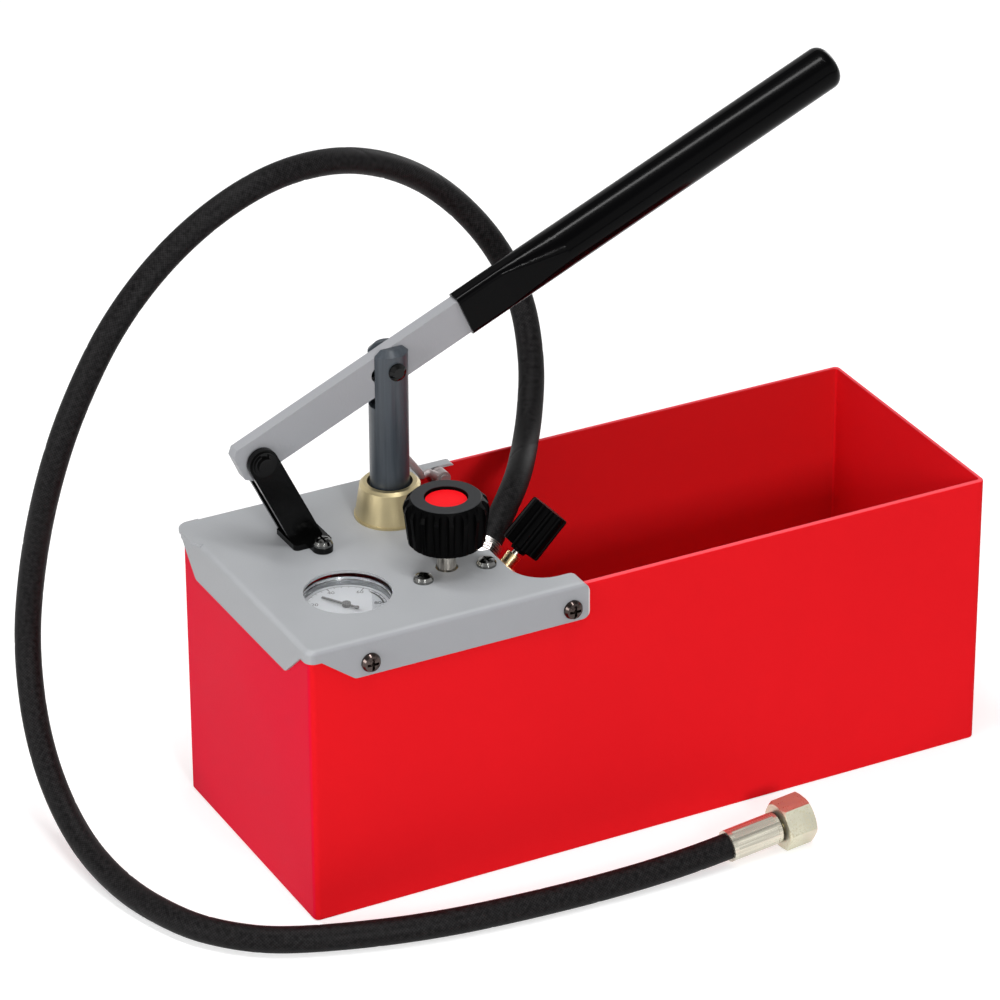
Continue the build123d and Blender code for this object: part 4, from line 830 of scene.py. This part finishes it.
def number_mesh(label, place, turn):
    """One printed number, laid flat on the dial."""
    text = bpy.data.curves.new("number_" + label, "FONT")
    text.body = label
    text.align_x = "CENTER"
    text.align_y = "CENTER"
    text.size = number_size
    text.extrude = print_height / 2
    holder = bpy.data.objects.new("number_" + label, text)
    bpy.context.scene.collection.objects.link(holder)
    mesh = bpy.data.meshes.new_from_object(holder.evaluated_get(bpy.context.evaluated_depsgraph_get()))
    bpy.data.objects.remove(holder)
    bpy.data.curves.remove(text)
    mesh.transform(Matrix.Translation(place) @ Matrix.Rotation(turn, 4, "Z"))
    return mesh


def dial_numbers():
    """All the numbers of the scale as one printed piece."""
    build = bmesh.new()
    upright_turn = scale_start - scale_sweep / 2 - math.pi / 2
    for i, label in enumerate(scale_numbers):
        angle = scale_start - scale_sweep * i / scale_steps
        out = Vector((math.cos(angle), math.sin(angle), 0))
        number = number_mesh(label, dial_centre + out * number_radius + Vector((0, 0, print_height / 2)),
                             upright_turn)
        build.from_mesh(number)
        bpy.data.meshes.remove(number)
    bmesh.ops.remove_doubles(build, verts=build.verts, dist=same_point)
    bmesh.ops.recalc_face_normals(build, faces=build.faces)
    mesh = bpy.data.meshes.new("dial_numbers")
    build.to_mesh(mesh)
    build.free()
    mesh.materials.clear()
    return new_piece("dial_numbers", mesh, "needle_black", "root")


ticks = tick_tree()
tick_values = {"First Angle": scale_start, "Sweep": scale_sweep, "Outer Radius": tick_outer,
               "Height": print_height, "Centre": dial_centre + Vector((0, 0, print_height / 2)),
               "Ink": finishes["needle_black"]}
grown("dial_long_ticks", ticks, {**tick_values, **long_tick, "Count": scale_steps + 1},
      "needle_black", "root")
grown("dial_short_ticks", ticks, {**tick_values, **short_tick, "Count": ticks_per_step * scale_steps + 1},
      "needle_black", "root")
dial_numbers()
arc_plate("dial_arc", tick_outer, scale_line_width, scale_start, scale_start - scale_sweep)
# The painted shadow arc on the dial
arc_plate("dial_shadow_arc", **painted_shadow_arc)


# Floor, light and camera, in metres and watts
floor_reach = 6.0
floor_tone = 0.65
floor_glow = 0.52
world_strength = 0.40
background_strength = 1.0
# Height on the world's sphere, from its middle up, and the grey that metal shows from there
studio_greys = ((0.0, 1.0), (0.16, 0.95), (0.50, 0.80), (0.62, 0.30), (0.9, 0.30), (1.0, 0.7))
pump_middle = (0, 0, 0.1)
lamps = {
    "key": {"place": (-0.5, -2.5, 1.25), "aim": pump_middle, "size": (0.4, 0.4), "power": 31},
    "side": {"place": (-2.3, -0.5, 0.7), "aim": pump_middle, "size": (0.9, 0.9), "power": 20},
    "strip": {"place": (-0.2, -0.1, 2.3), "aim": (0, 0, 0.15), "size": (2.2, 0.16), "power": 31},
    "rear": {"place": (2.2, 1.5, 0.7), "aim": pump_middle, "size": (0.9, 0.9), "power": 10},
}
camera_place = (-1.11907, -2.06078, 1.40591)
camera_turn = (61.879, 0.225, -27.559)
camera_lens = 190.49
camera_film = 36.0
camera_reach = 20.0


def plain_floor():
    """Pale floor that shows white to the camera and keeps a soft shadow."""
    corners = [(x * floor_reach, y * floor_reach, 0) for x, y in ((-1, -1), (1, -1), (1, 1), (-1, 1))]
    mesh = bpy.data.meshes.new("floor")
    mesh.from_pydata(corners, [], [range(len(corners))])
    floor = bpy.data.objects.new("floor", mesh)
    bpy.context.scene.collection.objects.link(floor)
    material, tree, shader = new_material("pale_floor")
    shader.inputs["Base Color"].default_value = (floor_tone, floor_tone, floor_tone, 1)
    shader.inputs["Roughness"].default_value = 0.9
    shader.inputs["Specular IOR Level"].default_value = 0.0
    shader.inputs["Emission Color"].default_value = (1, 1, 1, 1)
    rays = node(tree, "ShaderNodeLightPath")
    seen = node(tree, "ShaderNodeMath", operation="MAXIMUM")
    tree.links.new(rays.outputs["Is Camera Ray"], seen.inputs[0])
    tree.links.new(rays.outputs["Is Glossy Ray"], seen.inputs[1])
    glow = node(tree, "ShaderNodeMath", operation="MULTIPLY")
    glow.inputs[1].default_value = floor_glow
    tree.links.new(seen.outputs[0], glow.inputs[0])
    tree.links.new(glow.outputs[0], shader.inputs["Emission Strength"])
    mesh.materials.append(material)


def world_light():
    """Even light, with a white background, and pale walls under a darker ceiling in what metal shows."""
    world = bpy.data.worlds.new("studio")
    bpy.context.scene.world = world
    world.use_nodes = True
    tree = world.node_tree
    tree.nodes.clear()
    rays = node(tree, "ShaderNodeLightPath")
    soft = node(tree, "ShaderNodeBackground")
    soft.inputs["Strength"].default_value = world_strength
    white = node(tree, "ShaderNodeBackground")
    white.inputs["Strength"].default_value = background_strength
    height = node(tree, "ShaderNodeSeparateXYZ")
    tree.links.new(node(tree, "ShaderNodeTexCoord").outputs["Generated"], height.inputs[0])
    walls = node(tree, "ShaderNodeValToRGB")
    for place, grey in studio_greys:
        stop = walls.color_ramp.elements.new(place)
        stop.color = (grey, grey, grey, 1.0)
    tree.links.new(height.outputs["Z"], walls.inputs["Fac"])
    mirrored = node(tree, "ShaderNodeBackground")
    tree.links.new(walls.outputs["Color"], mirrored.inputs["Color"])
    seen = node(tree, "ShaderNodeMath", operation="MAXIMUM")
    tree.links.new(rays.outputs["Is Camera Ray"], seen.inputs[0])
    tree.links.new(rays.outputs["Is Transmission Ray"], seen.inputs[1])
    gloss = node(tree, "ShaderNodeMixShader")
    tree.links.new(rays.outputs["Is Glossy Ray"], gloss.inputs[0])
    tree.links.new(soft.outputs[0], gloss.inputs[1])
    tree.links.new(mirrored.outputs[0], gloss.inputs[2])
    mix = node(tree, "ShaderNodeMixShader")
    output = node(tree, "ShaderNodeOutputWorld")
    tree.links.new(seen.outputs[0], mix.inputs[0])
    tree.links.new(gloss.outputs[0], mix.inputs[1])
    tree.links.new(white.outputs[0], mix.inputs[2])
    tree.links.new(mix.outputs[0], output.inputs["Surface"])


def soft_lamp(name, place, aim, size, power):
    """A rectangular lamp that faces the place that it aims at."""
    data = bpy.data.lights.new(name, "AREA")
    data.shape = "RECTANGLE"
    data.size, data.size_y = size
    data.energy = power
    lamp = bpy.data.objects.new(name, data)
    bpy.context.scene.collection.objects.link(lamp)
    lamp.location = place
    lamp.rotation_euler = (Vector(aim) - Vector(place)).to_track_quat("-Z", "Y").to_euler()


def photo_camera():
    """Camera at the photograph's place, from the tank's corners seen in it."""
    data = bpy.data.cameras.new("photo_camera")
    data.sensor_fit = "HORIZONTAL"
    data.sensor_width = camera_film
    data.lens = camera_lens
    data.clip_end = camera_reach
    camera = bpy.data.objects.new("photo_camera", data)
    bpy.context.scene.collection.objects.link(camera)
    camera.location = camera_place
    camera.rotation_euler = [math.radians(angle) for angle in camera_turn]
    bpy.context.scene.camera = camera


plain_floor()
world_light()
for lamp_name, lamp in lamps.items():
    soft_lamp(lamp_name, **lamp)
photo_camera()
bpy.context.scene.view_settings.view_transform = "Standard"
